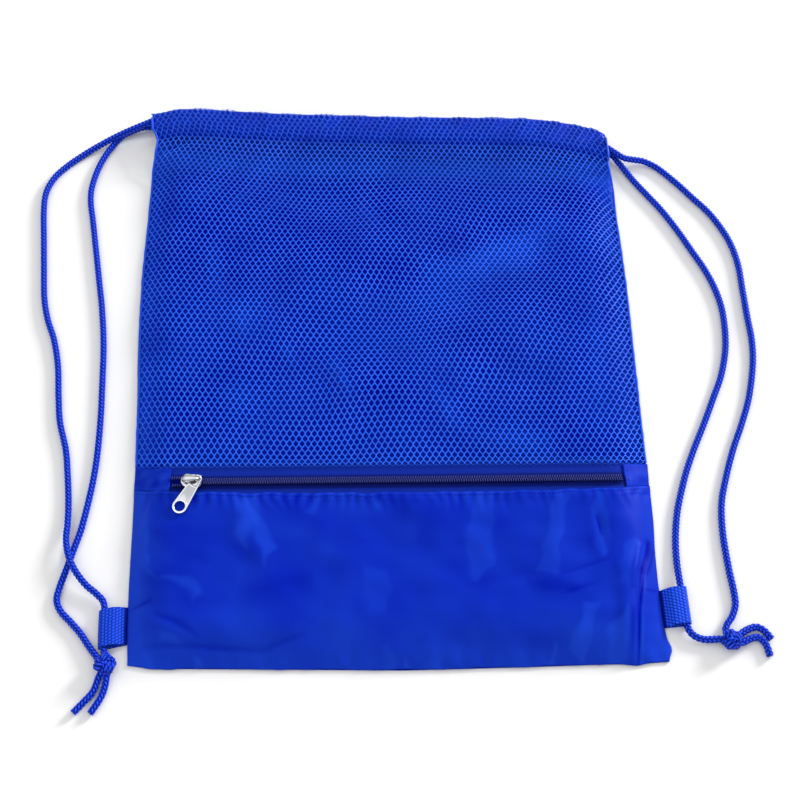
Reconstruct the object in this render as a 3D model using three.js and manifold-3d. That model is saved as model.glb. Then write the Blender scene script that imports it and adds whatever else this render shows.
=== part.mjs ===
// Drawstring bag with a net front, lying on its back with its cords laid out beside it.
// Millimetres, +Z up, +Y towards the mouth, origin on the floor under the middle of the bag.

import * as THREE from "three";
import Module from "manifold-3d";
import { mergeVertices } from "three/addons/utils/BufferGeometryUtils.js";

const wasm = await Module();
wasm.setup();

// Thickness of the pieces, and the clearance between neighbours
const CLOTH = 1.0;
const TAPE = 1.0;
const WEBBING = 1.2;
const CORD_DIAMETER = 4.2;
const CORD_ROOM = 5.2;
const GAP = 0.3;

// Outline of the bag as it lies: the side seams by height, the bottom and top edges by width
const SIDE_SEAMS = [
  { y: -212, left: -166, right: 169.5 },
  { y: -200, left: -167.5, right: 171.5 },
  { y: -186, left: -168.3, right: 169 },
  { y: -160, left: -169.2, right: 167 },
  { y: -100, left: -170.2, right: 165.5 },
  { y: -20, left: -173.4, right: 163.2 },
  { y: 60, left: -176.8, right: 160.4 },
  { y: 140, left: -175.3, right: 156 },
  { y: 190, left: -173.5, right: 153.5 },
  { y: 210, left: -176.5, right: 151.5 },
];
const BOTTOM_EDGE = [
  { x: -168, y: -209 },
  { x: -152, y: -211.2 },
  { x: 6, y: -211.8 },
  { x: 80, y: -210 },
  { x: 127, y: -209.3 },
  { x: 172, y: -206.8 },
];
const TOP_EDGE = [
  { x: -178, y: 206.5 },
  { x: -157, y: 212.2 },
  { x: -123, y: 208.5 },
  { x: -80, y: 205.5 },
  { x: 6, y: 202.7 },
  { x: 93, y: 201.5 },
  { x: 136, y: 195 },
  { x: 153, y: 188 },
];

// Loft of the front wall, measured to the middle of the cloth
const BACK_MIDDLE = CLOTH / 2;
const SEAM_MIDDLE = CLOTH + GAP + CLOTH / 2;
const FRONT_MIDDLE = 13.4;
const SIDE_ROUND = 20;
const BOTTOM_ROUND = 30;

// Main folds of the front wall: ridges between two points, with their spread and height
const FOLDS = [
  { x1: 150, y1: -204, x2: 149, y2: -150, spread: 9, height: 2.2 },
  { x1: 149, y1: -150, x2: 157, y2: -126, spread: 9, height: 2.0 },
  { x1: -92, y1: -128, x2: -78, y2: -156, spread: 13, height: 1.4 },
  { x1: 104, y1: -128, x2: 98, y2: -156, spread: 13, height: 1.5 },
  { x1: -150, y1: -190, x2: -70, y2: -198, spread: 11, height: 1.3 },
  { x1: -150, y1: 150, x2: -60, y2: 110, spread: 18, height: 1.8 },
  { x1: 30, y1: 160, x2: 130, y2: 100, spread: 18, height: 1.8 },
  { x1: -120, y1: 40, x2: 40, y2: 0, spread: 22, height: 1.4 },
];

// Casing: depth below the top edge, the two cords' places in it, and the bare ends of its hem
const CASING_DEPTH = 25;
const CASING_RAMP = 10;
const CORD_INSETS = { left: 5.4, right: 10.9 };
const HEM_INSET = 16;
const CASING_DROOP = 4;
const DROOP_REACH = 50;
const FRONT_HEM_MIDDLE = FRONT_MIDDLE + 0.1;
const FRONT_STITCH_MIDDLE = FRONT_HEM_MIDDLE + CLOTH + GAP;
const FRONT_CASING_MIDDLE = FRONT_HEM_MIDDLE + CLOTH + CORD_ROOM;
const BACK_STITCH_MIDDLE = BACK_MIDDLE + CLOTH + GAP;
const BACK_HEM_MIDDLE = BACK_MIDDLE + CLOTH + CORD_ROOM;
const SEAM_END = 4;
const SEAM_OPENING = 25;

// Zip: its line across the front, the opening around it, and its parts
const ZIP_LINE = { y: -88.3, slope: 0.011 };
const ZIP_LEFT = -145.8;
const ZIP_RIGHT = 149;
const NET_ABOVE_ZIP = 11.2;
const PANEL_BELOW_ZIP = 6.5;
const TAPE_REACH = 15.5;
const TAPE_UNDER_PATCH = 5;
const TAPE_SPLIT = 0.35;
const COIL_WIDTH = 2.6;
const COIL_HEIGHT = 2.2;
const COIL_SPLIT = 0.15;
const COIL_SPREAD = 1.4;
const PARTING_LEFT = 5;
const PARTING_RIGHT = 2;

// Slider and its pull tab
const SLIDER_X = -132;
const SLIDER_LENGTH = 13;
const SLIDER_PLATE = 1.2;
const FLANGE_WIDTH = 0.8;
const FLANGE_LENGTH = 3.4;
const FLANGE_INSET = 0.6;
const FLANGE_Y = 3.55;
const POST_INSET = 0.6;
const POST_LENGTH = 2.2;
const POST_WIDTH = 2.0;
const CROWN_LEG_X = 4.2;
const PLATE_EDGE = [
  { x: -6.5, halfWidth: 1.6 },
  { x: -4.9, halfWidth: 3.8 },
  { x: -3.5, halfWidth: 4.6 },
  { x: 5.3, halfWidth: 3.9 },
  { x: 6.5, halfWidth: 2.7 },
];
const CROWN_ARCH = [
  { x: -6, outside: 0, inside: 0 },
  { x: -5.8, outside: 1.2, inside: 0 },
  { x: -4.6, outside: 2.9, inside: 0 },
  { x: -3.3, outside: 3.7, inside: 0 },
  { x: -3.2, outside: 3.75, inside: 1.6 },
  { x: -2.4, outside: 4, inside: 2.7 },
  { x: 2, outside: 3.9, inside: 2.7 },
  { x: 3.4, outside: 3.65, inside: 2.3 },
  { x: 3.5, outside: 3.6, inside: 0 },
  { x: 4.3, outside: 3.4, inside: 0 },
  { x: 4.95, outside: 2.6, inside: 0 },
];
const CROWN_LEAF = [
  { x: -6.2, halfWidth: 0.6 },
  { x: -4.6, halfWidth: 1.95 },
  { x: -2.4, halfWidth: 2.3 },
  { x: 0.6, halfWidth: 1.85 },
  { x: 3.45, halfWidth: 1.1 },
  { x: 6.2, halfWidth: 1.1 },
];
const PULL_THICKNESS = 1.2;
const PULL_NECK_RADIUS = 3.2;
const PULL_END_RADIUS = 4.9;
const PULL_NECK_TO_END = 20.8;
const PULL_NECK_SHIFT = -0.4;
const PULL_HOLE_RADIUS = 3.5;
const PULL_WINDOW_RADIUS = 1.95;
const PULL_WINDOW_LENGTH = 4.4;
const PULL_LEAN = 30;
const PULL_DIP = 7.3;
const PULL_RISE = 1.65;

// Webbing loops in the side seams: place, reach to the loop's bend, and slant
const TAB_WIDTH = 24.8;
const TABS = {
  left: { y: -184.6, side: -1, reach: 13, slant: -0.15 },
  right: { y: -173.1, side: 1, reach: 12.8, slant: 0.17 },
};
const TAB_CLEARANCE = 1.15;
const TAB_BEND = CORD_DIAMETER / 2 + 0.4 + WEBBING / 2;
const TAB_BEND_STEPS = 6;
const TAB_RISE = [
  { out: 0, height: 2 },
  { out: 3, height: 4.2 },
  { out: 7, height: 6.6 },
];

// Knots: middle, and half sizes
const KNOTS = {
  left: { x: -180, y: -211.5, z: 5.5, rx: 7, ry: 7.4, rz: 5.4 },
  right: { x: 210, y: -195, z: 5.5, rx: 6.4, ry: 6.8, rz: 5.4 },
};
const KNOT_CLEARANCE = 0.7;

// Routes of the free strands, after the casing's end and up to the knot, laid on the floor
const LIE = CORD_DIAMETER / 2 + 0.1;
const STRAND_STEP = 10;
const STRANDS = {
  cord_left_outer: [
    [-186, 198.7, 10.4], [-199, 194.5, 6.8], [-212.5, 187.5, 4.4], [-225, 179.3, 2.8],
    [-236.5, 169.5, LIE], [-245, 159, LIE], [-249.8, 146.5, LIE], [-250.2, 131, LIE],
    [-247.8, 105.5, LIE], [-245.4, 80.5, LIE], [-243, 57.5, LIE], [-239, 40, LIE],
    [-233.2, 23.8, LIE], [-228.7, 3.4, LIE], [-226.3, -19, LIE], [-223.5, -39.5, LIE],
    [-217.8, -60.5, LIE], [-214.8, -80, LIE], [-212.6, -99, 2.5], [-211.6, -114.5, 3.8],
    [-211.2, -127, 5.8], [-208.2, -139.5, 6.9], [-203, -149.5, 6.3], [-196, -158, 4.9],
    [-189, -163.8, 4], [-183.8, -170.5, 3.7], [-182.4, -186.5, 3.7], [-181.7, -200, 3.8],
  ],
  cord_left_inner: [
    [-184, 201.2, 3.1], [-192.5, 198.8, 2.8], [-199, 194.8, 2.4], [-204.5, 187.5, LIE],
    [-210, 178.5, LIE], [-214.6, 166, LIE], [-217.6, 150.5, LIE], [-217.4, 138, LIE],
    [-214.4, 121, LIE], [-210.4, 97, LIE], [-206.3, 72.5, LIE], [-202.3, 48, LIE],
    [-199.1, 20, LIE], [-197.7, -7.5, LIE], [-196.6, -38, LIE], [-196.8, -66.5, LIE],
    [-198.2, -86, LIE], [-200.6, -104.5, LIE], [-203, -119, LIE], [-206.3, -132, LIE],
    [-210, -146.5, LIE], [-213, -158, LIE], [-214.2, -167, LIE], [-211, -174.8, LIE],
    [-204.5, -181.7, LIE], [-197.5, -189.5, LIE], [-190.7, -199.2, 2.8],
  ],
  cord_right_outer: [
    [163, 174.2, 9.6], [172, 171, 6.8], [181.5, 167.4, 4.4], [190.8, 162.3, 2.8],
    [200.2, 153.5, LIE], [211, 142.3, LIE], [221.3, 130.2, LIE],
    [229, 117.5, LIE], [235.3, 103, LIE], [239.2, 85.5, LIE], [240.6, 63.5, LIE],
    [241.9, 42, LIE], [243.2, 24, LIE], [242.2, 5, LIE], [237.3, -20.5, LIE],
    [230, -42.5, LIE], [223.2, -60, LIE], [216.2, -82.5, LIE], [212, -101, LIE],
    [211.2, -122, LIE], [212.2, -145, LIE], [213.3, -163, LIE], [212.9, -176, 2.6],
  ],
  cord_right_inner: [
    [158, 176.2, 3.1], [163, 168.8, 2.6], [170, 157, LIE],
    [179.5, 144, LIE], [188.8, 131, LIE], [198.8, 114, LIE], [207.4, 97.2, LIE],
    [215.8, 80.5, LIE], [222, 63.3, LIE], [225.3, 44.5, LIE], [225, 20, LIE],
    [220.3, -2.8, LIE], [213, -22, LIE], [205.4, -41, LIE], [197.7, -59, LIE],
    [191.2, -76, LIE], [185.8, -94, LIE], [182.5, -108, LIE], [180.3, -125.5, LIE],
    [179.9, -142, 2.9], [180.7, -156, 3.7], [182, -171, 3.7], [182.9, -183.8, 3.7],
    [186, -190.6, 3.4], [193, -193.9, 3],
  ],
};
const STRAND_ENDS = {
  cord_left_outer: { cord: "left", half: "front", angle: 95, height: 4.2 },
  cord_left_inner: { cord: "left", half: "back", angle: 136, height: 3.6 },
  cord_right_outer: { cord: "right", half: "front", angle: 80, height: 3.8 },
  cord_right_inner: { cord: "right", half: "back", angle: 172, height: 3.8 },
};

// Routes of the free ends beyond the knots, each from its place on the knot
const TAIL_STEP = 8;
const TAILS = {
  cord_left_tail_a: {
    knot: "left",
    angle: 245,
    height: 3.6,
    route: [[-186.2, -227.6, LIE], [-191, -234, LIE], [-197.5, -241.6, LIE]],
  },
  cord_left_tail_b: {
    knot: "left",
    angle: 282,
    height: 3.6,
    route: [[-179.8, -227.2, LIE], [-182.3, -233.8, LIE], [-187, -242, LIE]],
  },
  cord_right_tail_a: {
    knot: "right",
    angle: 35,
    height: 3.6,
    route: [[222, -187.8, 2.6], [227.5, -186.5, LIE], [232.2, -190, LIE], [235.3, -194.8, LIE]],
  },
  cord_right_tail_b: {
    knot: "right",
    angle: 350,
    height: 3.6,
    route: [[222, -196, 2.6], [227, -196.2, LIE], [230.5, -199.5, LIE], [233.4, -206, LIE]],
  },
};

// Casing runs of the two cords
const CASING_STATIONS = 16;
const CASING_STEPS = 76;
const CASING_EXIT = 1.5;
const EXIT_GAP = 0.5;
const TURN_BEYOND_HEM = 4;

// Resolution of the cloth grids: steps in from each side seam, then even spans between them
const EDGE_INSETS = [0, 6, 12, 20];
const MIDDLE_SPANS = 14;
const LOWER_ROWS = 9;
const NET_ROWS = 11;
const BACK_ROWS = 5;
const FOLD_STEPS = 5;
const SLIDER_SPANS = 10;
const ZIP_SPANS = 10;
const CORD_SIDES = 8;
const PULL_ARC_STEPS = 9;
const KNOT_SEGMENTS = 14;
const KNOT_RINGS = 8;
const WELD = 1e-4;

const POLYESTER = { color: 0x1238b8, roughness: 0.42, metalness: 0 };
const NET = { color: 0x1f5ae6, roughness: 0.6, metalness: 0 };
const ZIP_TAPE = { color: 0x12308f, roughness: 0.8, metalness: 0 };
const NYLON_COIL = { color: 0x232a62, roughness: 0.45, metalness: 0 };
const NICKEL = { color: 0xc9cacc, roughness: 0.25, metalness: 1 };
const WEBBING_YARN = { color: 0x1c48d6, roughness: 0.7, metalness: 0 };
const BRAID = { color: 0x2142c8, roughness: 0.7, metalness: 0 };

const bag = new THREE.Group();

function addPiece(name, geometry, finish) {
  const mesh = new THREE.Mesh(geometry, new THREE.MeshStandardMaterial(finish));
  mesh.name = name;
  bag.add(mesh);
  return mesh;
}

const mix = THREE.MathUtils.lerp;
const smooth = THREE.MathUtils.smoothstep;

// Reads a column of a table between its rows, and holds the end values outside them
function tableAt(table, key, column, at) {
  const first = table[0];
  const last = table[table.length - 1];
  if (at <= first[key]) return first[column];
  if (at >= last[key]) return last[column];
  const upper = table.findIndex((row) => row[key] > at);
  const [a, b] = [table[upper - 1], table[upper]];
  return mix(a[column], b[column], (at - a[key]) / (b[key] - a[key]));
}

const leftSeam = (y) => tableAt(SIDE_SEAMS, "y", "left", y);
const rightSeam = (y) => tableAt(SIDE_SEAMS, "y", "right", y);
const bottomEdge = (x) => tableAt(BOTTOM_EDGE, "x", "y", x);
const topEdge = (x) => tableAt(TOP_EDGE, "x", "y", x);
const zipLine = (x) => ZIP_LINE.y + ZIP_LINE.slope * x;
const stitchLine = (x) => topEdge(x) - CASING_DEPTH;

// How far the casing's loose ends hang down
function casingDroop(x) {
  const level = topEdge(x);
  const side = Math.min(x - leftSeam(level), rightSeam(level) - x);
  return CASING_DROOP * (1 - smooth(side, 0, DROOP_REACH));
}

// Rounded rise of the cloth away from a seam, from 0 at the seam to 1 at the given distance
const puff = (distance, round) => Math.sin((Math.PI / 2) * THREE.MathUtils.clamp(distance / round, 0, 1));

function foldHeight(x, y) {
  let height = 0;
  for (const fold of FOLDS) {
    const start = new THREE.Vector2(fold.x1, fold.y1);
    const along = new THREE.Vector2(fold.x2, fold.y2).sub(start);
    const place = new THREE.Vector2(x, y).sub(start);
    const t = THREE.MathUtils.clamp(place.dot(along) / along.lengthSq(), 0, 1);
    const distance = place.addScaledVector(along, -t).length();
    height += fold.height * Math.exp(-((distance / fold.spread) ** 2));
  }
  return height;
}

// Height of the middle of the front wall's cloth. The side seams end below the casing.
function frontMiddle(x, y) {
  const stitch = stitchLine(x);
  const sewn = 1 - smooth(y, stitch - SEAM_OPENING, stitch - SEAM_END);
  const side = Math.min(x - leftSeam(y), rightSeam(y) - x);
  const sideRise = mix(1, puff(side, SIDE_ROUND), sewn);
  const rise = sideRise * puff(y - bottomEdge(x), BOTTOM_ROUND);
  const toCasing = smooth(y, stitch - SEAM_OPENING, stitch);
  const crest = mix(FRONT_MIDDLE, FRONT_STITCH_MIDDLE - casingDroop(x), toCasing);
  return mix(SEAM_MIDDLE, crest, rise) + foldHeight(x, y) * rise * sewn;
}

// A closed sheet from a grid of points on its middle face, thickened along its normals
function sheet(columns, rows, thickness, point) {
  const grid = [];
  for (let j = 0; j <= rows; j++) {
    for (let i = 0; i <= columns; i++) grid.push(point(i, j));
  }
  const index = (i, j) => j * (columns + 1) + i;
  const layer = grid.length;
  const positions = new Float32Array(layer * 6);
  for (let j = 0; j <= rows; j++) {
    for (let i = 0; i <= columns; i++) {
      const here = index(i, j);
      const across = grid[index(Math.min(i + 1, columns), j)].clone();
      across.sub(grid[index(Math.max(i - 1, 0), j)]);
      const along = grid[index(i, Math.min(j + 1, rows))].clone();
      along.sub(grid[index(i, Math.max(j - 1, 0))]);
      const offset = across.cross(along).setLength(thickness / 2);
      grid[here].clone().add(offset).toArray(positions, here * 3);
      grid[here].clone().sub(offset).toArray(positions, (layer + here) * 3);
    }
  }
  const faces = [];
  const quad = (a, b, c, d) => faces.push(a, b, c, a, c, d);
  for (let j = 0; j < rows; j++) {
    for (let i = 0; i < columns; i++) {
      const corners = [index(i, j), index(i + 1, j), index(i + 1, j + 1), index(i, j + 1)];
      quad(...corners);
      quad(...corners.map((corner) => corner + layer).reverse());
    }
  }
  const rim = (a, b) => quad(a, a + layer, b + layer, b);
  for (let i = 0; i < columns; i++) {
    rim(index(i, 0), index(i + 1, 0));
    rim(index(i + 1, rows), index(i, rows));
  }
  for (let j = 0; j < rows; j++) {
    rim(index(0, j + 1), index(0, j));
    rim(index(columns, j), index(columns, j + 1));
  }
  const geometry = new THREE.BufferGeometry();
  geometry.setAttribute("position", new THREE.BufferAttribute(positions, 3));
  geometry.setIndex(faces);
  geometry.computeVertexNormals();
  return geometry;
}

// Columns that crowd towards the side seams, where the cloth turns over
const CLOTH_COLUMNS = MIDDLE_SPANS + 2 * (EDGE_INSETS.length - 1);
function clothColumn(i, left, right) {
  const last = EDGE_INSETS.length - 1;
  if (i <= last) return left + EDGE_INSETS[i];
  if (i >= CLOTH_COLUMNS - last) return right - EDGE_INSETS[CLOTH_COLUMNS - i];
  return mix(left + EDGE_INSETS[last], right - EDGE_INSETS[last], (i - last) / MIDDLE_SPANS);
}

// The half round of a folded edge and the hem behind it, as steps in from the top edge
function casingFold(outer, hem, hemAtStitch) {
  const radius = Math.abs(outer - hem) / 2;
  const back = radius + CLOTH / 2;
  const rows = [];
  for (let k = 0; k <= FOLD_STEPS; k++) {
    const turn = (Math.PI * k) / FOLD_STEPS;
    const height = mix(outer, hem, (1 - Math.cos(turn)) / 2);
    rows.push({ inset: back - radius * Math.sin(turn), height, bare: (HEM_INSET * k) / FOLD_STEPS });
  }
  rows.push({ inset: CASING_DEPTH - CASING_RAMP, height: hem, bare: HEM_INSET });
  rows.push({ inset: CASING_DEPTH - GAP, height: hemAtStitch, bare: HEM_INSET });
  return rows;
}

// A point of a casing row, which keeps to the top edge and stops short of the sides where bare
function casingPoint(row, i, droop) {
  const y = topEdge(0) - row.inset;
  const x = clothColumn(i, leftSeam(y) + row.bare, rightSeam(y) - row.bare);
  return new THREE.Vector3(x, topEdge(x) - row.inset, row.height - droop(x));
}

function backPanel() {
  const fold = casingFold(BACK_MIDDLE, BACK_HEM_MIDDLE, BACK_STITCH_MIDDLE);
  const rows = BACK_ROWS + fold.length - 1;
  return sheet(CLOTH_COLUMNS, rows, CLOTH, (i, j) => {
    if (j >= BACK_ROWS) return casingPoint(fold[j - BACK_ROWS], i, () => 0);
    const share = j / BACK_ROWS;
    const level = mix(bottomEdge(0), topEdge(0), share);
    const x = clothColumn(i, leftSeam(level), rightSeam(level));
    return new THREE.Vector3(x, mix(bottomEdge(x), topEdge(x) - fold[0].inset, share), BACK_MIDDLE);
  });
}

function meshPanel() {
  const fold = [
    { inset: CASING_DEPTH - CASING_RAMP, height: FRONT_CASING_MIDDLE, bare: 0 },
    ...casingFold(FRONT_CASING_MIDDLE, FRONT_HEM_MIDDLE, FRONT_HEM_MIDDLE),
  ];
  const rows = NET_ROWS + fold.length;
  return sheet(CLOTH_COLUMNS, rows, CLOTH, (i, j) => {
    if (j > NET_ROWS) return casingPoint(fold[j - NET_ROWS - 1], i, casingDroop);
    const share = j / NET_ROWS;
    const level = mix(zipLine(0) + NET_ABOVE_ZIP, stitchLine(0), share);
    const x = clothColumn(i, leftSeam(level), rightSeam(level));
    const y = mix(zipLine(x) + NET_ABOVE_ZIP, stitchLine(x), share);
    return new THREE.Vector3(x, y, frontMiddle(x, y));
  });
}

function lowerPanel() {
  return sheet(CLOTH_COLUMNS, LOWER_ROWS, CLOTH, (i, j) => {
    const share = j / LOWER_ROWS;
    const level = mix(bottomEdge(0), zipLine(0) - PANEL_BELOW_ZIP, share);
    const x = clothColumn(i, leftSeam(level), rightSeam(level));
    const y = mix(bottomEdge(x), zipLine(x) - PANEL_BELOW_ZIP, share);
    return new THREE.Vector3(x, y, frontMiddle(x, y));
  });
}

// Patch over one end of the zip, from the side seam to where the zip starts to show
function zipEnd(fromX, toX) {
  const columns = EDGE_INSETS.length;
  return sheet(columns, 2, CLOTH, (i, j) => {
    const x = mix(fromX, toX, i / columns);
    const y = zipLine(x) + mix(GAP - PANEL_BELOW_ZIP, NET_ABOVE_ZIP - GAP, j / 2);
    return new THREE.Vector3(x, y, frontMiddle(x, y));
  });
}

// Parting of the two halves of the zip at the slider and towards its open end
const zipParting = (x) => 1 - smooth(x, SLIDER_X - PARTING_LEFT, SLIDER_X + PARTING_RIGHT);

// Places along the zip, closer together up to the slider, where its halves part
function zipStation(i, from, to) {
  const near = SLIDER_X + SLIDER_LENGTH;
  if (i <= SLIDER_SPANS) return mix(from, near, i / SLIDER_SPANS);
  return mix(near, to, (i - SLIDER_SPANS) / ZIP_SPANS);
}

function zipTape(side) {
  return sheet(SLIDER_SPANS + ZIP_SPANS, 1, TAPE, (i, j) => {
    const x = zipStation(i, ZIP_LEFT - TAPE_UNDER_PATCH, ZIP_RIGHT + TAPE_UNDER_PATCH);
    const inner = TAPE_SPLIT + COIL_SPREAD * zipParting(x);
    const reach = side > 0 ? mix(inner, TAPE_REACH, j) : mix(TAPE_REACH, inner, j);
    const y = zipLine(x) + side * reach;
    return new THREE.Vector3(x, y, frontMiddle(x, y) - CLOTH / 2 - GAP - TAPE / 2);
  });
}

function zipCoil(side) {
  return sheet(SLIDER_SPANS + ZIP_SPANS, 1, COIL_HEIGHT, (i, j) => {
    const x = zipStation(i, ZIP_LEFT + GAP, ZIP_RIGHT - GAP);
    const inner = COIL_SPLIT + COIL_SPREAD * zipParting(x);
    const reach = inner + COIL_WIDTH * (side > 0 ? j : 1 - j);
    const y = zipLine(x) + side * reach;
    const tapeTop = frontMiddle(x, y) - CLOTH / 2 - GAP;
    return new THREE.Vector3(x, y, tapeTop + GAP + COIL_HEIGHT / 2);
  });
}

function solid(geometry) {
  const bare = geometry.clone();
  bare.deleteAttribute("normal");
  bare.deleteAttribute("uv");
  const merged = mergeVertices(bare, WELD);
  return new wasm.Manifold(new wasm.Mesh({
    numProp: 3,
    vertProperties: new Float32Array(merged.attributes.position.array),
    triVerts: new Uint32Array(merged.index.array),
  }));
}

function geometryOf(manifold) {
  const mesh = manifold.getMesh();
  const geometry = new THREE.BufferGeometry();
  geometry.setAttribute("position", new THREE.BufferAttribute(mesh.vertProperties, 3));
  geometry.setIndex(new THREE.BufferAttribute(mesh.triVerts, 1));
  geometry.computeVertexNormals();
  return geometry;
}

function slab(shape, bottom, top, arcSteps = 1) {
  const options = { depth: top - bottom, bevelEnabled: false, curveSegments: arcSteps };
  return new THREE.ExtrudeGeometry(shape, options).translate(0, 0, bottom);
}

// Outline that runs out along one column of a table and back along another, at the other sign
function outline(table, near, far) {
  const there = table.map((row) => new THREE.Vector2(row.x, near(row)));
  const back = table.map((row) => new THREE.Vector2(row.x, far(row)));
  return new THREE.Shape([...there, ...back.reverse()]);
}

const mirrored = (table) => outline(table, (row) => -row.halfWidth, (row) => row.halfWidth);

// Heights in the zip, from the lie of the front wall there
const ZIP_TAPE_TOP = FRONT_MIDDLE - CLOTH / 2 - GAP;
const SLIDER_TOP = ZIP_TAPE_TOP + GAP + COIL_HEIGHT + GAP + SLIDER_PLATE;

// Slider body: two plates on a post between the coils, flanges at the closed end, arched crown
function zipSlider() {
  const half = SLIDER_LENGTH / 2;
  const underside = -SLIDER_PLATE;
  const tapeTop = ZIP_TAPE_TOP - SLIDER_TOP;
  const floorTop = tapeTop - TAPE - GAP;
  const plate = mirrored(PLATE_EDGE);
  const post = mirrored([
    { x: POST_INSET - half, halfWidth: 0 },
    { x: POST_INSET - half + POST_LENGTH / 2, halfWidth: POST_WIDTH / 2 },
    { x: POST_INSET - half + POST_LENGTH, halfWidth: 0 },
  ]);
  let body = solid(slab(plate, underside, 0));
  body = body.add(solid(slab(plate, floorTop - TAPE, floorTop)));
  body = body.add(solid(slab(post, floorTop - TAPE / 2, underside / 2)));
  const flangeBottom = tapeTop + GAP;
  const flangeTop = underside / 2;
  const flangeX = half - FLANGE_INSET - FLANGE_LENGTH / 2;
  for (const side of [-1, 1]) {
    const flange = new THREE.BoxGeometry(FLANGE_LENGTH, FLANGE_WIDTH, flangeTop - flangeBottom);
    flange.translate(flangeX, side * FLANGE_Y, (flangeTop + flangeBottom) / 2);
    body = body.add(solid(flange));
  }
  return geometryOf(body.add(crown()));
}

// Crown: an arch along the zip, leaf-shaped from above, under which the pull is held
function crown() {
  const sunk = (height) => (height > 0 ? height : -SLIDER_PLATE / 2);
  const arch = outline(CROWN_ARCH, (row) => sunk(row.inside), (row) => sunk(row.outside));
  const upright = slab(arch, -SLIDER_LENGTH, SLIDER_LENGTH).rotateX(Math.PI / 2);
  return solid(upright).intersect(solid(slab(mirrored(CROWN_LEAF), -SLIDER_PLATE, SLIDER_LENGTH)));
}

// Pull tab: a tapered plate with a window for the crown's leg and a round hole at its free end
function zipPull() {
  const neckX = PULL_NECK_SHIFT;
  const endX = neckX + PULL_NECK_TO_END;
  const splay = Math.acos((PULL_NECK_RADIUS - PULL_END_RADIUS) / PULL_NECK_TO_END);
  const plate = new THREE.Shape();
  plate.absarc(endX, 0, PULL_END_RADIUS, -splay, splay, false);
  plate.absarc(neckX, 0, PULL_NECK_RADIUS, splay, 2 * Math.PI - splay, false);
  const hole = new THREE.Path();
  hole.absarc(endX, 0, PULL_HOLE_RADIUS, 0, 2 * Math.PI, true);
  const window = new THREE.Path();
  window.absarc(neckX, 0, PULL_WINDOW_RADIUS, 1.5 * Math.PI, 0.5 * Math.PI, true);
  window.lineTo(neckX + PULL_WINDOW_LENGTH, PULL_WINDOW_RADIUS);
  window.lineTo(neckX + PULL_WINDOW_LENGTH, -PULL_WINDOW_RADIUS);
  plate.holes.push(hole, window);
  return slab(plate, -PULL_THICKNESS / 2, PULL_THICKNESS / 2, PULL_ARC_STEPS);
}

// Webbing loop: out from the front wall's edge, round the cord, and back to the back wall's edge
function tabLoop({ y: tabY, side, reach, slant }) {
  const path = TAB_RISE.slice();
  for (let k = 0; k <= TAB_BEND_STEPS; k++) {
    const turn = (Math.PI * k) / TAB_BEND_STEPS;
    const out = reach + TAB_BEND * Math.sin(turn);
    path.push({ out, height: WEBBING / 2 + TAB_BEND * (1 + Math.cos(turn)) });
  }
  path.push({ out: 0, height: WEBBING / 2 });
  const seam = side < 0 ? leftSeam : rightSeam;
  return sheet(1, path.length - 1, WEBBING, (i, j) => {
    const { out, height } = path[j];
    const seamY = tabY + (i - 0.5) * side * TAB_WIDTH;
    const x = seam(seamY) + side * (TAB_CLEARANCE + out);
    return new THREE.Vector3(x, seamY + slant * out, height);
  });
}

// Round cord along a smooth line through the points
function cordTube(points, steps) {
  const line = new THREE.CatmullRomCurve3(points, false, "catmullrom", 0.5);
  const section = new THREE.Shape();
  section.absarc(0, 0, CORD_DIAMETER / 2, 0, 2 * Math.PI, false);
  const options = { steps, curveSegments: CORD_SIDES / 2, bevelEnabled: false, extrudePath: line };
  const tube = new THREE.ExtrudeGeometry(section, options);
  tube.deleteAttribute("normal");
  tube.deleteAttribute("uv");
  const merged = mergeVertices(tube, WELD);
  merged.computeVertexNormals();
  return merged;
}

function freeCord(points, step) {
  const line = new THREE.CatmullRomCurve3(points, false, "catmullrom", 0.5);
  return cordTube(points, Math.round(line.getLength() / step));
}

// Where a cord meets a knot: a point just off the knot's side, at a plan angle and a height
function knotPort({ knot, angle, height }, clearance) {
  const { x, y, z, rx, ry, rz } = KNOTS[knot];
  const girth = Math.sqrt(1 - ((height - z) / rz) ** 2);
  const turn = THREE.MathUtils.degToRad(angle);
  const outX = (rx * girth + clearance) * Math.cos(turn);
  const outY = (ry * girth + clearance) * Math.sin(turn);
  return new THREE.Vector3(x + outX, y + outY, height);
}

// Middle of a cord in the front or back half of the casing
function casingPlace(x, cord, half) {
  const inset = CORD_INSETS[cord];
  const floor = half === "front" ? FRONT_HEM_MIDDLE - casingDroop(x) : BACK_MIDDLE;
  return new THREE.Vector3(x, topEdge(x) - inset, floor + (CLOTH + CORD_ROOM) / 2);
}

// Where a cord leaves the casing, a little inside its open end
function casingExit(cord, half) {
  const level = topEdge(0) - CORD_INSETS[cord];
  const x = cord === "left" ? leftSeam(level) + CASING_EXIT : rightSeam(level) - CASING_EXIT;
  return casingPlace(x, cord, half);
}

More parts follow.
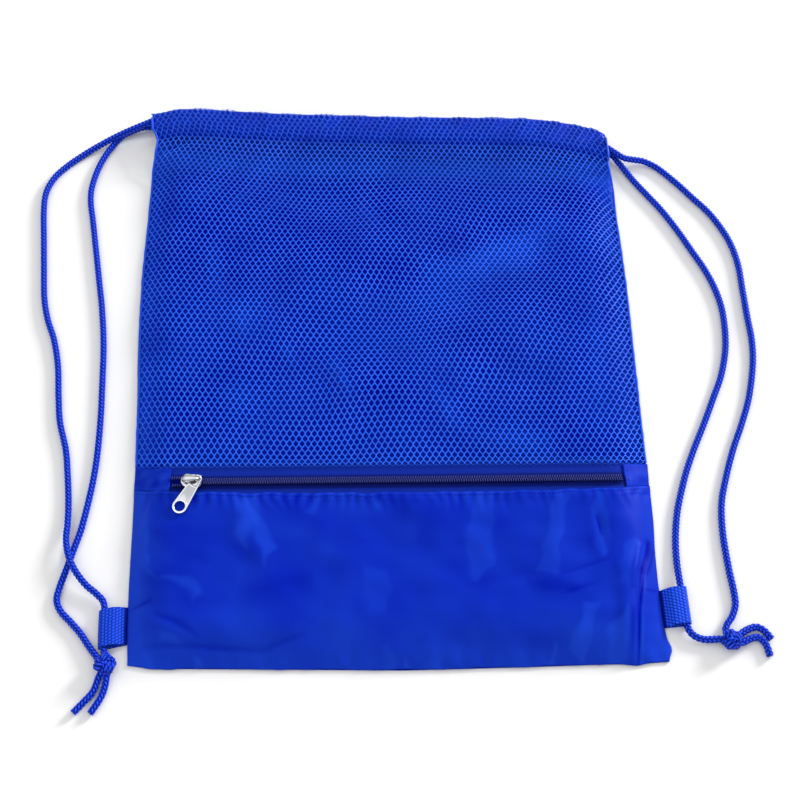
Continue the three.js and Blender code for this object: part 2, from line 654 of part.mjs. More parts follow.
// A cord's run in the casing: through the front half, round the far end, back through the other
function casingRun(cord) {
  const level = topEdge(0) - CORD_INSETS[cord];
  const from = casingExit(cord, "front").x;
  const inside = HEM_INSET - TURN_BEYOND_HEM;
  const to = cord === "left" ? rightSeam(level) - inside : leftSeam(level) + inside;
  const stations = (half) => {
    const points = [];
    for (let k = 0; k < CASING_STATIONS; k++) {
      points.push(casingPlace(mix(from, to, k / (CASING_STATIONS - 1)), cord, half));
    }
    return points;
  };
  const out = stations("front");
  const home = stations("back").reverse();
  const start = out[out.length - 1];
  const radius = start.distanceTo(home[0]) / 2;
  const turn = [0.25, 0.5, 0.75].map((share) => {
    const bend = radius * Math.sin(Math.PI * share) * Math.sign(to - from);
    const drop = (1 - Math.cos(Math.PI * share)) / 2;
    return start.clone().lerp(home[0], drop).add(new THREE.Vector3(bend, 0, 0));
  });
  return cordTube([...out, ...turn, ...home], CASING_STEPS);
}

addPiece("back_panel", backPanel(), POLYESTER);
addPiece("mesh_panel", meshPanel(), NET);
addPiece("lower_panel", lowerPanel(), POLYESTER);
const patchLevel = zipLine(0) + (NET_ABOVE_ZIP - PANEL_BELOW_ZIP) / 2;
addPiece("zip_end_left", zipEnd(leftSeam(patchLevel), ZIP_LEFT), POLYESTER);
addPiece("zip_end_right", zipEnd(ZIP_RIGHT, rightSeam(patchLevel)), POLYESTER);
addPiece("zip_tape_upper", zipTape(1), ZIP_TAPE);
addPiece("zip_tape_lower", zipTape(-1), ZIP_TAPE);
addPiece("zip_coil_upper", zipCoil(1), NYLON_COIL);
addPiece("zip_coil_lower", zipCoil(-1), NYLON_COIL);

const slider = addPiece("zip_slider", zipSlider(), NICKEL);
slider.position.set(SLIDER_X, zipLine(SLIDER_X), SLIDER_TOP);

const pull = addPiece("zip_pull", zipPull(), NICKEL);
pull.position.set(SLIDER_X + CROWN_LEG_X, zipLine(SLIDER_X), SLIDER_TOP + PULL_RISE);
pull.rotation.order = "ZYX";
pull.rotation.z = THREE.MathUtils.degToRad(-90 - PULL_LEAN);
pull.rotation.y = THREE.MathUtils.degToRad(PULL_DIP);

addPiece("tab_left", tabLoop(TABS.left), WEBBING_YARN);
addPiece("tab_right", tabLoop(TABS.right), WEBBING_YARN);

addPiece("cord_left_casing", casingRun("left"), BRAID);
addPiece("cord_right_casing", casingRun("right"), BRAID);
for (const [name, route] of Object.entries(STRANDS)) {
  const { cord, half } = STRAND_ENDS[name];
  const exit = casingExit(cord, half);
  exit.x += cord === "left" ? -EXIT_GAP : EXIT_GAP;
  const points = route.map((place) => new THREE.Vector3(...place));
  const port = knotPort({ knot: cord, ...STRAND_ENDS[name] }, KNOT_CLEARANCE);
  addPiece(name, freeCord([exit, ...points, port], STRAND_STEP), BRAID);
}
for (const [side, { x, y, z, rx, ry, rz }] of Object.entries(KNOTS)) {
  const knot = addPiece(`knot_${side}`, new THREE.SphereGeometry(1, KNOT_SEGMENTS, KNOT_RINGS), BRAID);
  knot.scale.set(rx, ry, rz);
  knot.position.set(x, y, z);
}
for (const [name, tail] of Object.entries(TAILS)) {
  const points = tail.route.map((place) => new THREE.Vector3(...place));
  addPiece(name, freeCord([knotPort(tail, KNOT_CLEARANCE), ...points], TAIL_STEP), BRAID);
}

export default bag;
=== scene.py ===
import math

import bmesh
import bpy
import numpy as np
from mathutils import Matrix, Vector


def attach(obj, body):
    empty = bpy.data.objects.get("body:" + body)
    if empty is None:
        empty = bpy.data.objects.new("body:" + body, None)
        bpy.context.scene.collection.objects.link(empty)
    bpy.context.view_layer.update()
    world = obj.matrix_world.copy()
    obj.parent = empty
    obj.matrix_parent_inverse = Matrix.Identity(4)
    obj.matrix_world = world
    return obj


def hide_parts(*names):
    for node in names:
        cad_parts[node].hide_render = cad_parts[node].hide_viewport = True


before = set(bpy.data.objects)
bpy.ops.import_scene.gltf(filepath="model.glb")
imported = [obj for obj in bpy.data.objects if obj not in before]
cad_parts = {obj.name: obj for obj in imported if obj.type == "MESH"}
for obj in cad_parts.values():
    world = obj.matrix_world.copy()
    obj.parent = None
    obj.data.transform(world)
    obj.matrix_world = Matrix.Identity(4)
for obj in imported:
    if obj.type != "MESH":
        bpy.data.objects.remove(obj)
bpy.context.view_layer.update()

# Studio: white paper under a broad soft light from the upper right and a weak one from the left,
# with a pale surround that fills the shadows. The camera looks down on the lying bag.
CAMERA_TILT = math.radians(28.7)
CAMERA_DISTANCE = 1.22644
CAMERA_TARGET = Vector((0.0027, -0.0213, 0.0))
CAMERA_LENS = 82.22
CAMERA_SENSOR = 36.0
LIGHTS = {
    "key_light": {"at": (3.68, 2.87, 1.79), "side": 1.2, "watts": 305.0},
    "fill_light": {"at": (-0.9, -0.5, 1.8), "side": 1.2, "watts": 3.6},
}
HORIZON_STRENGTH = 0.45
OVERHEAD_STRENGTH = 1.12
HORIZON_TO = 0.05
OVERHEAD_FROM = 0.7
PAPER_SIDE = 20.0
PAPER_LEVEL = -0.0002
PAPER_WHITE = "dcdcdc"


def linear(hex_code):
    """Linear colour of an sRGB hex value."""
    shares = [int(hex_code[i : i + 2], 16) / 255 for i in (0, 2, 4)]
    parts = [s / 12.92 if s <= 0.04045 else ((s + 0.055) / 1.055) ** 2.4 for s in shares]
    return (*parts, 1.0)


def add_node(tree, kind, inputs, **settings):
    """Adds a node with its settings, and fills or links its inputs."""
    node = tree.nodes.new("ShaderNode" + kind)
    for name, value in settings.items():
        setattr(node, name, value)
    for name, value in inputs.items():
        if isinstance(value, bpy.types.NodeSocket):
            tree.links.new(value, node.inputs[name])
        else:
            node.inputs[name].default_value = value
    return node


def new_material(name):
    """An empty material, and its tree of nodes."""
    material = bpy.data.materials.new(name)
    material.use_nodes = True
    material.node_tree.nodes.clear()
    return material, material.node_tree


def place_in_scene(name, data):
    """An object that holds the data, in the scene."""
    placed = bpy.data.objects.new(name, data)
    bpy.context.scene.collection.objects.link(placed)
    return placed


camera = place_in_scene("camera", bpy.data.cameras.new("camera"))
camera.data.lens = CAMERA_LENS
camera.data.sensor_width = CAMERA_SENSOR
camera.rotation_euler = (CAMERA_TILT, 0.0, 0.0)
camera_away = Vector((0.0, -math.sin(CAMERA_TILT), math.cos(CAMERA_TILT)))
camera.location = CAMERA_TARGET + camera_away * CAMERA_DISTANCE
bpy.context.scene.camera = camera
bpy.context.scene.view_settings.view_transform = "Standard"

for light_name, light in LIGHTS.items():
    lamp = place_in_scene(light_name, bpy.data.lights.new(light_name, "AREA"))
    lamp.data.size = light["side"]
    lamp.data.energy = light["watts"]
    lamp.location = light["at"]
    lamp.rotation_euler = (-lamp.location).to_track_quat("-Z", "Y").to_euler()

surround = bpy.data.worlds.new("pale_surround")
surround.use_nodes = True
nodes = surround.node_tree
facing = add_node(nodes, "TexCoord", {}).outputs["Generated"]
height = add_node(nodes, "SeparateXYZ", {"Vector": facing}).outputs["Z"]
strength = add_node(
    nodes,
    "MapRange",
    {
        "Value": height,
        "From Min": HORIZON_TO,
        "From Max": OVERHEAD_FROM,
        "To Min": HORIZON_STRENGTH,
        "To Max": OVERHEAD_STRENGTH,
    },
)
nodes.nodes["Background"].inputs["Color"].default_value = (1.0, 1.0, 1.0, 1.0)
nodes.links.new(strength.outputs["Result"], nodes.nodes["Background"].inputs["Strength"])
bpy.context.scene.world = surround

# Matt white paper, with no gloss of its own
paper, nodes = new_material("matt_white_paper")
paper_shader = add_node(
    nodes,
    "BsdfPrincipled",
    {"Base Color": linear(PAPER_WHITE), "Roughness": 0.9, "Specular IOR Level": 0.0},
)
add_node(nodes, "OutputMaterial", {"Surface": paper_shader.outputs["BSDF"]})
half_paper = PAPER_SIDE / 2
paper_mesh = bpy.data.meshes.new("paper_floor")
paper_mesh.from_pydata(
    [(x * half_paper, y * half_paper, PAPER_LEVEL) for x, y in ((-1, -1), (1, -1), (1, 1), (-1, 1))],
    [],
    [(0, 1, 2, 3)],
)
paper_mesh.materials.append(paper)
place_in_scene("paper_floor", paper_mesh)

# Back wall: one panel of polyester taffeta that lies on the floor, cut to the bag's outline.
# Its top edge is folded in and sewn down 25 mm below, which makes the back half of the casing.
BAG_WIDTH = 340.0
BAG_HEIGHT = 420.0
CORNER_EASE = 3.0
EASE_SAMPLES = 7
# Side seams: y, left seam's x, right seam's x
SEAMS = np.array(
    [
        (-212, -166.6, 170.5),
        (-206, -167, 173.6),
        (-199, -167.5, 170.2),
        (-186, -168.3, 168.6),
        (-160, -169.2, 167),
        (-140, -169.5, 166.6),
        (-120, -169.8, 167),
        (-86, -170.7, 165.9),
        (-20, -173.6, 163.4),
        (0, -175, 162.7),
        (25, -176, 162),
        (60, -176.8, 161),
        (140, -175.3, 156.3),
        (190, -173.5, 153.5),
        (210, -176.5, 151.5),
    ]
)
# Bottom and top edges: x, y
BOTTOM = np.array(
    [
        (-168, -210.2),
        (-152, -212.4),
        (6, -213.5),
        (80, -211.4),
        (127, -209.7),
        (143, -209.4),
        (151, -210.8),
        (156, -208.8),
        (172, -207.8),
    ]
)
TOP = np.array(
    [
        (-178, 208),
        (-166, 210.4),
        (-157, 212.2),
        (-123, 208.5),
        (-80, 205.5),
        (6, 202.7),
        (93, 201.5),
        (128, 197.6),
        (142, 195),
        (148, 192.4),
        (154, 187.6),
    ]
)
TAFFETA_THICKNESS = 0.5
BACK_MIDDLE = 0.5
BACK_HEM_MIDDLE = 6.7
BACK_STITCH_MIDDLE = 1.8
CASING_DEPTH = 25.0
CASING_RAMP = 10.0
FOLD_INSET = 0.5
FOLD_STEPS = 10
HEM_INSET = 16.0
HEM_INSET_FROM = 0.55
HEM_SHORT = 0.3
HEM_FLAT_ROWS = 3
HEM_RAMP_ROWS = 4
BACK_COLUMNS = 120
BACK_ROWS = 130
BACK_LIFT = 2.6
BACK_REST = 0.35
BACK_CALM = (4.0, 40.0)
BACK_TOP_MARGIN = 30.0
BACK_SHADE = 0.02
BACK_FOLD_LIGHT = 0.7
BACK_EDGE_LIGHT = 0.5
CASING_SHADE_LIGHT = 0.95
CASING_SHADE_END = 55.0
LOW_LIGHT = 0.17
LOW_LIGHT_FROM = 95.0
LOW_LIGHT_TO = 45.0
BACK_EDGE_REACH = 10.0
UNDERSIDE_LIGHT = 0.5
HEM_LIGHT = 0.95
# Waves of a sheet: seed, length, height
BACK_WAVES = [(3, 95, 0.2), (4, 38, 0.1)]
BACK_LIGHT_WAVES = [(5, 70, 0.1)]
RIPPLE_WAVES = 9
RIPPLE_STRETCH = (0.7, 1.5)
# Folds of the back: line, spread, height
BACK_FOLDS = [
    ([(-123, 128), (-94, 160), (-65, 191)], 4, 0.8),
    ([(-152, 134), (-100, 177)], 5, 0.6),
    ([(-103, 122), (-74, 148)], 4, 0.5),
    ([(-24, 142), (3, 177)], 6, 0.5),
    ([(-29, 136), (-12, 118)], 5, 0.55),
    ([(-2, 140), (26, 128)], 5, 0.5),
    ([(120, 124), (88, 100), (56, 83), (15, 78)], 13, 1.2),
    ([(95, 92), (50, 82)], 12, 0.6),
    ([(-30, 53), (55, 60)], 12, 0.4),
    ([(61, 136), (111, 142)], 5, 0.5),
    ([(97, 173), (126, 167)], 6, 0.6),
    ([(138, 105), (137, 25), (136, -50)], 5, 0.45),
    ([(-130, 106), (-123, 54)], 6, 0.55),
    ([(-108, 49), (-104, 26)], 5, 0.6),
    ([(-78, 21), (-68, 2)], 4, 0.7),
    ([(-45, 10), (-30, -20)], 4, 0.7),
    ([(22, -9), (45, -49)], 6, 0.6),
    ([(43, -49), (108, -57)], 9, 0.5),
    ([(-117, -12), (-97, -28)], 10, 0.4),
]
TAFFETA_SHADED = "010d8f"
TAFFETA_LIT = "1639b5"
TAFFETA_SHEEN = "3468ff"
# The bag's sizes are in millimetres, and the scene's are in metres
MM = 0.001
# A wave texture of scale 1 repeats every pi / 10 of its coordinate
WAVE_REPEAT = math.pi / 10


def eased(at, places, values):
    """A table read between its rows, with its corners eased."""
    shifts = np.linspace(-CORNER_EASE, CORNER_EASE, EASE_SAMPLES)
    return sum(np.interp(np.asarray(at) + s, places, values) for s in shifts) / len(shifts)


def left_seam(y):
    return eased(y, SEAMS[:, 0], SEAMS[:, 1])


def right_seam(y):
    return eased(y, SEAMS[:, 0], SEAMS[:, 2])


def bottom_edge(x):
    return eased(x, BOTTOM[:, 0], BOTTOM[:, 1])


def top_edge(x):
    return eased(x, TOP[:, 0], TOP[:, 1])


def mix(low, high, share):
    return low + (high - low) * share


def smoothstep(value, low, high):
    share = np.clip((value - low) / (high - low), 0, 1)
    return share * share * (3 - 2 * share)


def fade(distance, reach):
    """1 at no distance, falling softly to almost 0 at twice the reach."""
    return np.exp(-((distance / reach) ** 2))


def ripple(x, y, seed, length):
    """A smooth uneven field of about -1 to 1, whose waves have about the given length."""
    draw = np.random.default_rng(seed)
    shortest, longest = RIPPLE_STRETCH
    field = 0.0
    for _ in range(RIPPLE_WAVES):
        turn, start, stretch = draw.uniform((0, 0, shortest), (np.pi, 2 * np.pi, longest))
        along = x * np.cos(turn) + y * np.sin(turn)
        field = field + np.sin(2 * np.pi * along / (length * stretch) + start)
    return field / math.sqrt(RIPPLE_WAVES)


def waves(x, y, table):
    """Ripples added up, from a table of waves."""
    return sum(height * ripple(x, y, seed, length) for seed, length, height in table)


def casing_rows(outer, hem, hem_at_stitch):
    """Rows of a folded top edge: how far in from the edge, how high, and how far in from the sides."""
    radius = abs(outer - hem) / 2
    turn = np.linspace(0, np.pi, FOLD_STEPS + 1)
    rows = np.column_stack(
        [
            radius * (1 - np.sin(turn)) + FOLD_INSET,
            mix(outer, hem, (1 - np.cos(turn)) / 2),
            HEM_INSET * smoothstep(turn, HEM_INSET_FROM * np.pi, np.pi),
        ]
    )
    ramp_start = CASING_DEPTH - CASING_RAMP
    flat = np.linspace(rows[-1, 0], ramp_start, HEM_FLAT_ROWS + 1)[1:]
    ramp = np.linspace(ramp_start, CASING_DEPTH - HEM_SHORT, HEM_RAMP_ROWS + 1)[1:]
    ramp_height = mix(hem, hem_at_stitch, np.linspace(0, 1, HEM_RAMP_ROWS + 1)[1:])
    flat_rows = np.column_stack([flat, np.full_like(flat, hem), np.full_like(flat, HEM_INSET)])
    ramp_rows = np.column_stack([ramp, ramp_height, np.full_like(ramp, HEM_INSET)])
    return np.vstack([rows, flat_rows, ramp_rows])


def casing_place(share, inset, height, bare, right_draw=0.0):
    """Points of the casing, by the share of the width and the rows' values."""
    level = top_edge(0.0) - inset
    x = mix(left_seam(level) + bare, right_seam(level) - np.maximum(bare, right_draw), share)
    return np.stack([x, top_edge(x) - inset, height + 0 * x], axis=-1)


def closed_sheet(grid, thickness):
    """Points and quads of a closed sheet whose middle runs through a grid of points."""
    normal = np.cross(np.gradient(grid, axis=1), np.gradient(grid, axis=0))
    normal /= np.linalg.norm(normal, axis=-1, keepdims=True)
    rise = normal * np.asarray(thickness)[..., None] / 2
    points = np.concatenate([(grid + rise).reshape(-1, 3), (grid - rise).reshape(-1, 3)])
    index = np.arange(grid[..., 0].size).reshape(grid.shape[:2])
    low, high = index[:-1], index[1:]
    top = np.stack([low[:, :-1], low[:, 1:], high[:, 1:], high[:, :-1]], -1).reshape(-1, 4)
    bottom = top[:, ::-1] + index.size
    rim = np.concatenate([index[0], index[1:, -1], index[-1, -2::-1], index[-2:0:-1, 0]])
    after = np.roll(rim, -1)
    side = np.stack([after, rim, rim + index.size, after + index.size], -1)
    return points, np.concatenate([top, bottom, side])


def add_piece(name, points, faces, material, slot, nodes, body="bag", values=None):
    """Makes a piece from points in millimetres, which rides on a body and stands for CAD nodes."""
    mesh = bpy.data.meshes.new(name)
    groups = faces if isinstance(faces, list) else [faces]
    polygons = [polygon for group in groups for polygon in np.asarray(group).tolist()]
    mesh.from_pydata((np.asarray(points) * MM).tolist(), [], polygons)
    mesh.shade_smooth()
    for key, numbers in (values or {}).items():
        mesh.attributes.new(key, "FLOAT", "POINT").data.foreach_set("value", np.ravel(numbers))
    mesh.materials.append(material)
    piece = place_in_scene(name, mesh)
    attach(piece, body)
    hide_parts(*nodes)
    return piece


def ridge(x, y, line, spread, height, faded=True):
    """Rise along a line of points, or dip if negative, that may fade out at the line's ends."""
    line = np.asarray(line, float)
    nearest = np.full(np.shape(x), np.inf)
    place = np.zeros(np.shape(x))
    run = 0.0
    for start, end in zip(line, line[1:]):
        way = end - start
        share = np.clip(((x - start[0]) * way[0] + (y - start[1]) * way[1]) / (way @ way), 0, 1)
        away = np.hypot(x - start[0] - share * way[0], y - start[1] - share * way[1])
        place = np.where(away < nearest, run + share * np.hypot(*way), place)
        nearest = np.minimum(nearest, away)
        run += np.hypot(*way)
    strength = np.sqrt(np.sin(np.pi * np.clip(place / run, 0, 1))) if faded else 1.0
    return height * fade(nearest, spread) * strength


# Polyester taffeta, woven of smooth filaments: a satin face whose gloss takes the cloth's colour,
# with painted light and shade between a shaded and a lit blue, lighter along its folds. Its
# threads, 0.2 mm apart, are too fine to show and drawn at 0.9 mm.
THREAD_SPACING = 0.9 * MM
STREAK = (30 * MM, 1.0 * MM, 30 * MM)
STREAK_DEPTH = 0.07
THREAD_RELIEF = 0.06 * MM
taffeta, nodes = new_material("polyester_taffeta")
place = add_node(nodes, "TexCoord", {}).outputs["Object"]
stretched = add_node(nodes, "Mapping", {"Vector": place, "Scale": [1 / s for s in STREAK]})
streaks = add_node(nodes, "TexNoise", {"Vector": stretched.outputs[0], "Scale": 1.0})
# The light attribute is painted light and shade: 0 gives the shaded blue, 1 the lit blue
light = add_node(nodes, "Attribute", {}, attribute_name="light")
streaked = add_node(
    nodes,
    "Math",
    {0: streaks.outputs[0], 1: STREAK_DEPTH, 2: light.outputs["Fac"]},
    operation="MULTIPLY_ADD",
)
shade = add_node(
    nodes,
    "Mix",
    {0: streaked.outputs[0], 6: linear(TAFFETA_SHADED), 7: linear(TAFFETA_LIT)},
    data_type="RGBA",
)
threads = [
    add_node(
        nodes,
        "TexWave",
        {"Vector": place, "Scale": WAVE_REPEAT / THREAD_SPACING, "Distortion": 0.6},
        bands_direction=way,
    ).outputs["Fac"]
    for way in ("X", "Y")
]
weave = add_node(nodes, "Math", {0: threads[0], 1: threads[1]}, operation="MULTIPLY")
weave_bump = add_node(
    nodes, "Bump", {"Height": weave.outputs[0], "Strength": 0.22, "Distance": THREAD_RELIEF}
)
taffeta_shader = add_node(
    nodes,
    "BsdfPrincipled",
    {
        "Base Color": shade.outputs[2],
        "Normal": weave_bump.outputs["Normal"],
        "Roughness": 0.4,
        "Specular IOR Level": 0.04,
        "Specular Tint": linear(TAFFETA_SHEEN),
    },
)
add_node(nodes, "OutputMaterial", {"Surface": taffeta_shader.outputs["BSDF"]})

width_share = np.linspace(0, 1, BACK_COLUMNS + 1)[None, :]
fold = casing_rows(BACK_MIDDLE, BACK_HEM_MIDDLE, BACK_STITCH_MIDDLE)
fold_grid = casing_place(width_share, *(fold[:, k : k + 1] for k in range(3)))
row_share = np.linspace(0, 1, BACK_ROWS + 1)[:-1, None]
level = mix(bottom_edge(0.0), top_edge(0.0), row_share)
x = mix(left_seam(level), right_seam(level), width_share)
y = mix(bottom_edge(x), top_edge(x) - fold[0, 0], row_share)
from_side = np.minimum(width_share, 1 - width_share) * BAG_WIDTH
inward = np.minimum(from_side, (1 - row_share) * BAG_HEIGHT - BACK_TOP_MARGIN)
calm = smoothstep(np.minimum(inward, row_share * BAG_HEIGHT), *BACK_CALM)
folds = sum(ridge(x, y, *fold_line) for fold_line in BACK_FOLDS)
lift = BACK_LIFT * calm * (BACK_REST + waves(x, y, BACK_WAVES) + folds)
back_grid = np.concatenate([np.stack([x, y, BACK_MIDDLE + np.maximum(lift, 0)], -1), fold_grid])
# Painted light of the cloth: more along its edges and folds, below the casing and lower down,
# with painted shade elsewhere
edge_light = BACK_EDGE_LIGHT * fade(np.maximum(inward, 0), BACK_EDGE_REACH)
from_top = top_edge(x) - y
in_casing_shade = 1 - smoothstep(from_top, CASING_DEPTH, CASING_SHADE_END)
edge_light = edge_light + CASING_SHADE_LIGHT * in_casing_shade
back_light = BACK_SHADE + np.maximum(edge_light, BACK_FOLD_LIGHT * folds * calm)
back_light = back_light + waves(x, y, BACK_LIGHT_WAVES)
back_light = back_light + LOW_LIGHT * smoothstep(-y, -LOW_LIGHT_FROM, -LOW_LIGHT_TO)
hem_count = fold_grid[..., 0].size
underside_light = [np.full(back_light.size, UNDERSIDE_LIGHT), np.full(hem_count, HEM_LIGHT)]
underside_light = np.concatenate(underside_light)
back_light = np.concatenate([back_light.ravel(), np.zeros(hem_count)])
back_wall = add_piece(
    "back_wall",
    *closed_sheet(back_grid, TAFFETA_THICKNESS),
    taffeta,
    "polyester",
    ["back_panel"],
    values={"light": np.concatenate([back_light, underside_light])},
)

# Zip tapes: two woven polyester tapes, sewn behind the edges of the opening, that carry the coils.
# They lie just under the front wall and meet along the zip's line, apart left of the slider.
FRONT_MIDDLE = 13.4
SEAM_MIDDLE = 1.15
SIDE_ROUND = 28.0
BOTTOM_ROUND = 34.0
SEAM_OPENING = 34.0
SEAM_END = 2.0
CASING_DROOP = 4.0
DROOP_REACH = 50.0
FRONT_STITCH_MIDDLE = 17.5
STITCH_RISE_REACH = 42.0
STITCH_RISE_POWER = 1.6
# Broad folds of the front: line, spread, height
FRONT_FOLDS = [
    ([(150, -204), (149, -150)], 9, 2.2),
    ([(149, -150), (157, -126)], 9, 2.0),
    ([(-92, -128), (-78, -156)], 13, 1.4),
    ([(104, -128), (98, -156)], 13, 1.5),
    ([(-150, -190), (-70, -198)], 11, 1.3),
    ([(-150, 150), (-60, 110)], 18, 1.8),
    ([(30, 160), (130, 100)], 18, 1.8),
    ([(-120, 40), (40, 0)], 22, 1.4),
]
ZIP_Y = -88.3
ZIP_SLOPE = 0.011
ZIP_END_LIFT = 6.3
ZIP_LEFT = -145.8
ZIP_RIGHT = 149.0
SLIDER_X = -132.0
PARTING = (-5.0, 2.0)
TAPE_THICKNESS = 0.6
TAPE_DEPTH = 1.3
TAPE_REACH = 15.5
TAPE_UNDER_PATCH = 5.0
TAPE_COLUMNS = 240
TAPE_ROWS = 25
TAPE_SPLIT = 0.35
COIL_SPREAD = 1.4
TAPE_COIL_REACH = 4.4
TAPE_COIL_FADE = 0.9
TAPE_LIGHT = 0.75
TAPE_BLUE = "09258d"
TAPE_SEWN_AND_SHADED = "061361"
TAPE_RIB = 1.3 * MM
TAPE_RIB_RELIEF = 0.15 * MM
TAPE_RIB_LIGHT = 0.3


def puff(distance, reach):
    return np.sin(np.pi / 2 * np.clip(distance / reach, 0, 1))


def casing_droop(x):
    level = top_edge(x)
    side = np.minimum(x - left_seam(level), right_seam(level) - x)
    return CASING_DROOP * (1 - smoothstep(side, 0, DROOP_REACH))


def front_height(x, y):
    """Height of the front wall's middle: flat in the middle, rounded down to the seams."""
    stitch = top_edge(x) - CASING_DEPTH
    sewn = 1 - smoothstep(y, stitch - SEAM_OPENING, stitch - SEAM_END)
    side = np.minimum(x - left_seam(y), right_seam(y) - x)
    rise = mix(1, puff(side, SIDE_ROUND), sewn) * puff(y - bottom_edge(x), BOTTOM_ROUND)
    to_casing = np.clip((y - stitch) / STITCH_RISE_REACH + 1, 0, 1) ** STITCH_RISE_POWER
    crest = mix(FRONT_MIDDLE, FRONT_STITCH_MIDDLE - casing_droop(x), to_casing)
    folds = sum(ridge(x, y, *fold_line, faded=False) for fold_line in FRONT_FOLDS)
    return mix(SEAM_MIDDLE, crest, rise) + folds * rise * sewn


def zip_line(x):
    """The zip's line up the front, which rises where the front rounds down to the side seams."""
    side = np.minimum(x - left_seam(ZIP_Y), right_seam(ZIP_Y) - x)
    return ZIP_Y + ZIP_SLOPE * x + ZIP_END_LIFT * (1 - puff(side, SIDE_ROUND))


def zip_parting(x):
    """How far the zip's halves are apart: 1 left of the slider, 0 right of it."""
    return 1 - smoothstep(x, SLIDER_X + PARTING[0], SLIDER_X + PARTING[1])


# Woven polyester tape, piece-dyed: a matt herringbone with ribs 1.3 mm wide, darker along the
# coil, where the thread that sews the coil on covers it and where painted shade stands for the
# coil's shadow
zip_tape, nodes = new_material("woven_polyester_tape")
place = add_node(nodes, "TexCoord", {}).outputs["Object"]
ribs = [
    add_node(
        nodes,
        "TexWave",
        {"Vector": place, "Scale": WAVE_REPEAT / TAPE_RIB, "Distortion": 1.5, "Detail": 1.0},
        bands_direction=way,
    ).outputs["Fac"]
    for way in ("X", "DIAGONAL")
]
rib_height = add_node(nodes, "Math", {0: ribs[0], 1: ribs[1]}, operation="MULTIPLY")
plain = add_node(nodes, "Attribute", {}, attribute_name="plain")
tape_light = add_node(
    nodes,
    "Math",
    {0: rib_height.outputs[0], 1: TAPE_RIB_LIGHT, 2: plain.outputs["Fac"]},
    operation="MULTIPLY_ADD",
)
tape_shade = add_node(
    nodes,
    "Mix",
    {0: tape_light.outputs[0], 6: linear(TAPE_SEWN_AND_SHADED), 7: linear(TAPE_BLUE)},
    data_type="RGBA",
)
tape_bump = add_node(
    nodes, "Bump", {"Height": rib_height.outputs[0], "Strength": 0.5, "Distance": TAPE_RIB_RELIEF}
)
tape_shader = add_node(
    nodes,
    "BsdfPrincipled",
    {
        "Base Color": tape_shade.outputs[2],
        "Normal": tape_bump.outputs["Normal"],
        "Roughness": 0.75,
        "Specular IOR Level": 0.05,
    },
)
add_node(nodes, "OutputMaterial", {"Surface": tape_shader.outputs["BSDF"]})

tape_ends = ZIP_LEFT - TAPE_UNDER_PATCH, ZIP_RIGHT + TAPE_UNDER_PATCH
tape_x = np.linspace(*tape_ends, TAPE_COLUMNS)[None, :]
for name, side in (("upper", 1), ("lower", -1)):
    inner = TAPE_SPLIT + COIL_SPREAD * zip_parting(tape_x)
    across = np.linspace(0, 1, TAPE_ROWS)[::side, None]
    tape_y = zip_line(tape_x) + side * mix(inner, TAPE_REACH, across)
    tape_z = front_height(tape_x + 0 * tape_y, tape_y) - TAPE_DEPTH
    tape_grid = np.stack([tape_x + 0 * tape_y, tape_y, tape_z], -1)
    # Beside the coil the plain share is 0, so the tape there takes the colour of its stitching and
    # painted shade
    from_coil = side * (tape_y - zip_line(tape_x)) - COIL_SPREAD * zip_parting(tape_x)
    past_coil = smoothstep(from_coil, TAPE_COIL_REACH, TAPE_COIL_REACH + TAPE_COIL_FADE)
    unsewn_lit_share = TAPE_LIGHT * past_coil.ravel()
    tape = add_piece(
        "tape_" + name,
        *closed_sheet(tape_grid, TAPE_THICKNESS),
        zip_tape,
        "zip_tape",
        ["zip_tape_" + name],
        values={"plain": np.concatenate([unsewn_lit_share, unsewn_lit_share])},
    )

# Zip coils: each a nylon wire wound into a flat spiral and sewn along its tape's edge.
# The spirals interlock right of the slider and stand apart left of it.
COIL_PITCH = 1.53
COIL_WIRE = 0.36
COIL_REACH = 2.75
COIL_OVERLAP = 0.55
COIL_HALF_HEIGHT = 0.72
COIL_LEVEL = 1.2
COIL_BED = 0.5
COIL_END_GAP = 0.5
COIL_SET_BACK = 0.2
COIL_STEPS = 12
COIL_SIDES = 6
COIL_HIGHLIGHT_SPAN = (0.4, 1.0)
ROUTE_STEPS = 32
NYLON_NAVY = "03063a"
NYLON_HIGHLIGHT = "363d86"


def run_along(line):
    """Length of a line up to each of its points."""
    return np.concatenate([[0], np.cumsum(np.linalg.norm(np.diff(line, axis=0), axis=1))])


def smooth_route(points, spacing):
    """Points evenly spaced along the smooth curve through a route's points."""
    points = np.asarray(points, float)
    ends = 2 * points[:1] - points[1:2], 2 * points[-1:] - points[-2:-1]
    posts = np.concatenate([ends[0], points, ends[1]])
    t = np.linspace(0, 1, ROUTE_STEPS, endpoint=False)[:, None]
    spans = []
    for a, b, c, d in zip(posts, posts[1:], posts[2:], posts[3:]):
        leave, arrive = (c - a) / 2, (d - b) / 2
        cube = 2 * b - 2 * c + leave + arrive
        square = 3 * c - 3 * b - 2 * leave - arrive
        spans.append(((cube * t + square) * t + leave) * t + b)
    fine = np.concatenate([*spans, points[-1:]])
    run = run_along(fine)
    at = np.linspace(0, run[-1], max(2, round(run[-1] / spacing)) + 1)
    return np.stack([np.interp(at, run, column) for column in fine.T], -1)


def line_length(line):
    return float(np.linalg.norm(np.diff(line, axis=0), axis=1).sum())


def tube_frames(path):
    """Two directions square to a path at each of its points, carried along it without twist."""
    tangent = np.gradient(path, axis=0)
    tangent /= np.linalg.norm(tangent, axis=1, keepdims=True)
    side = np.cross(tangent[0], (0.0, 0.0, 1.0))
    sides = []
    for way in tangent:
        side = side - way * (side @ way)
        side = side / np.linalg.norm(side)
        sides.append(side)
    return np.array(sides), np.cross(np.array(sides), tangent)


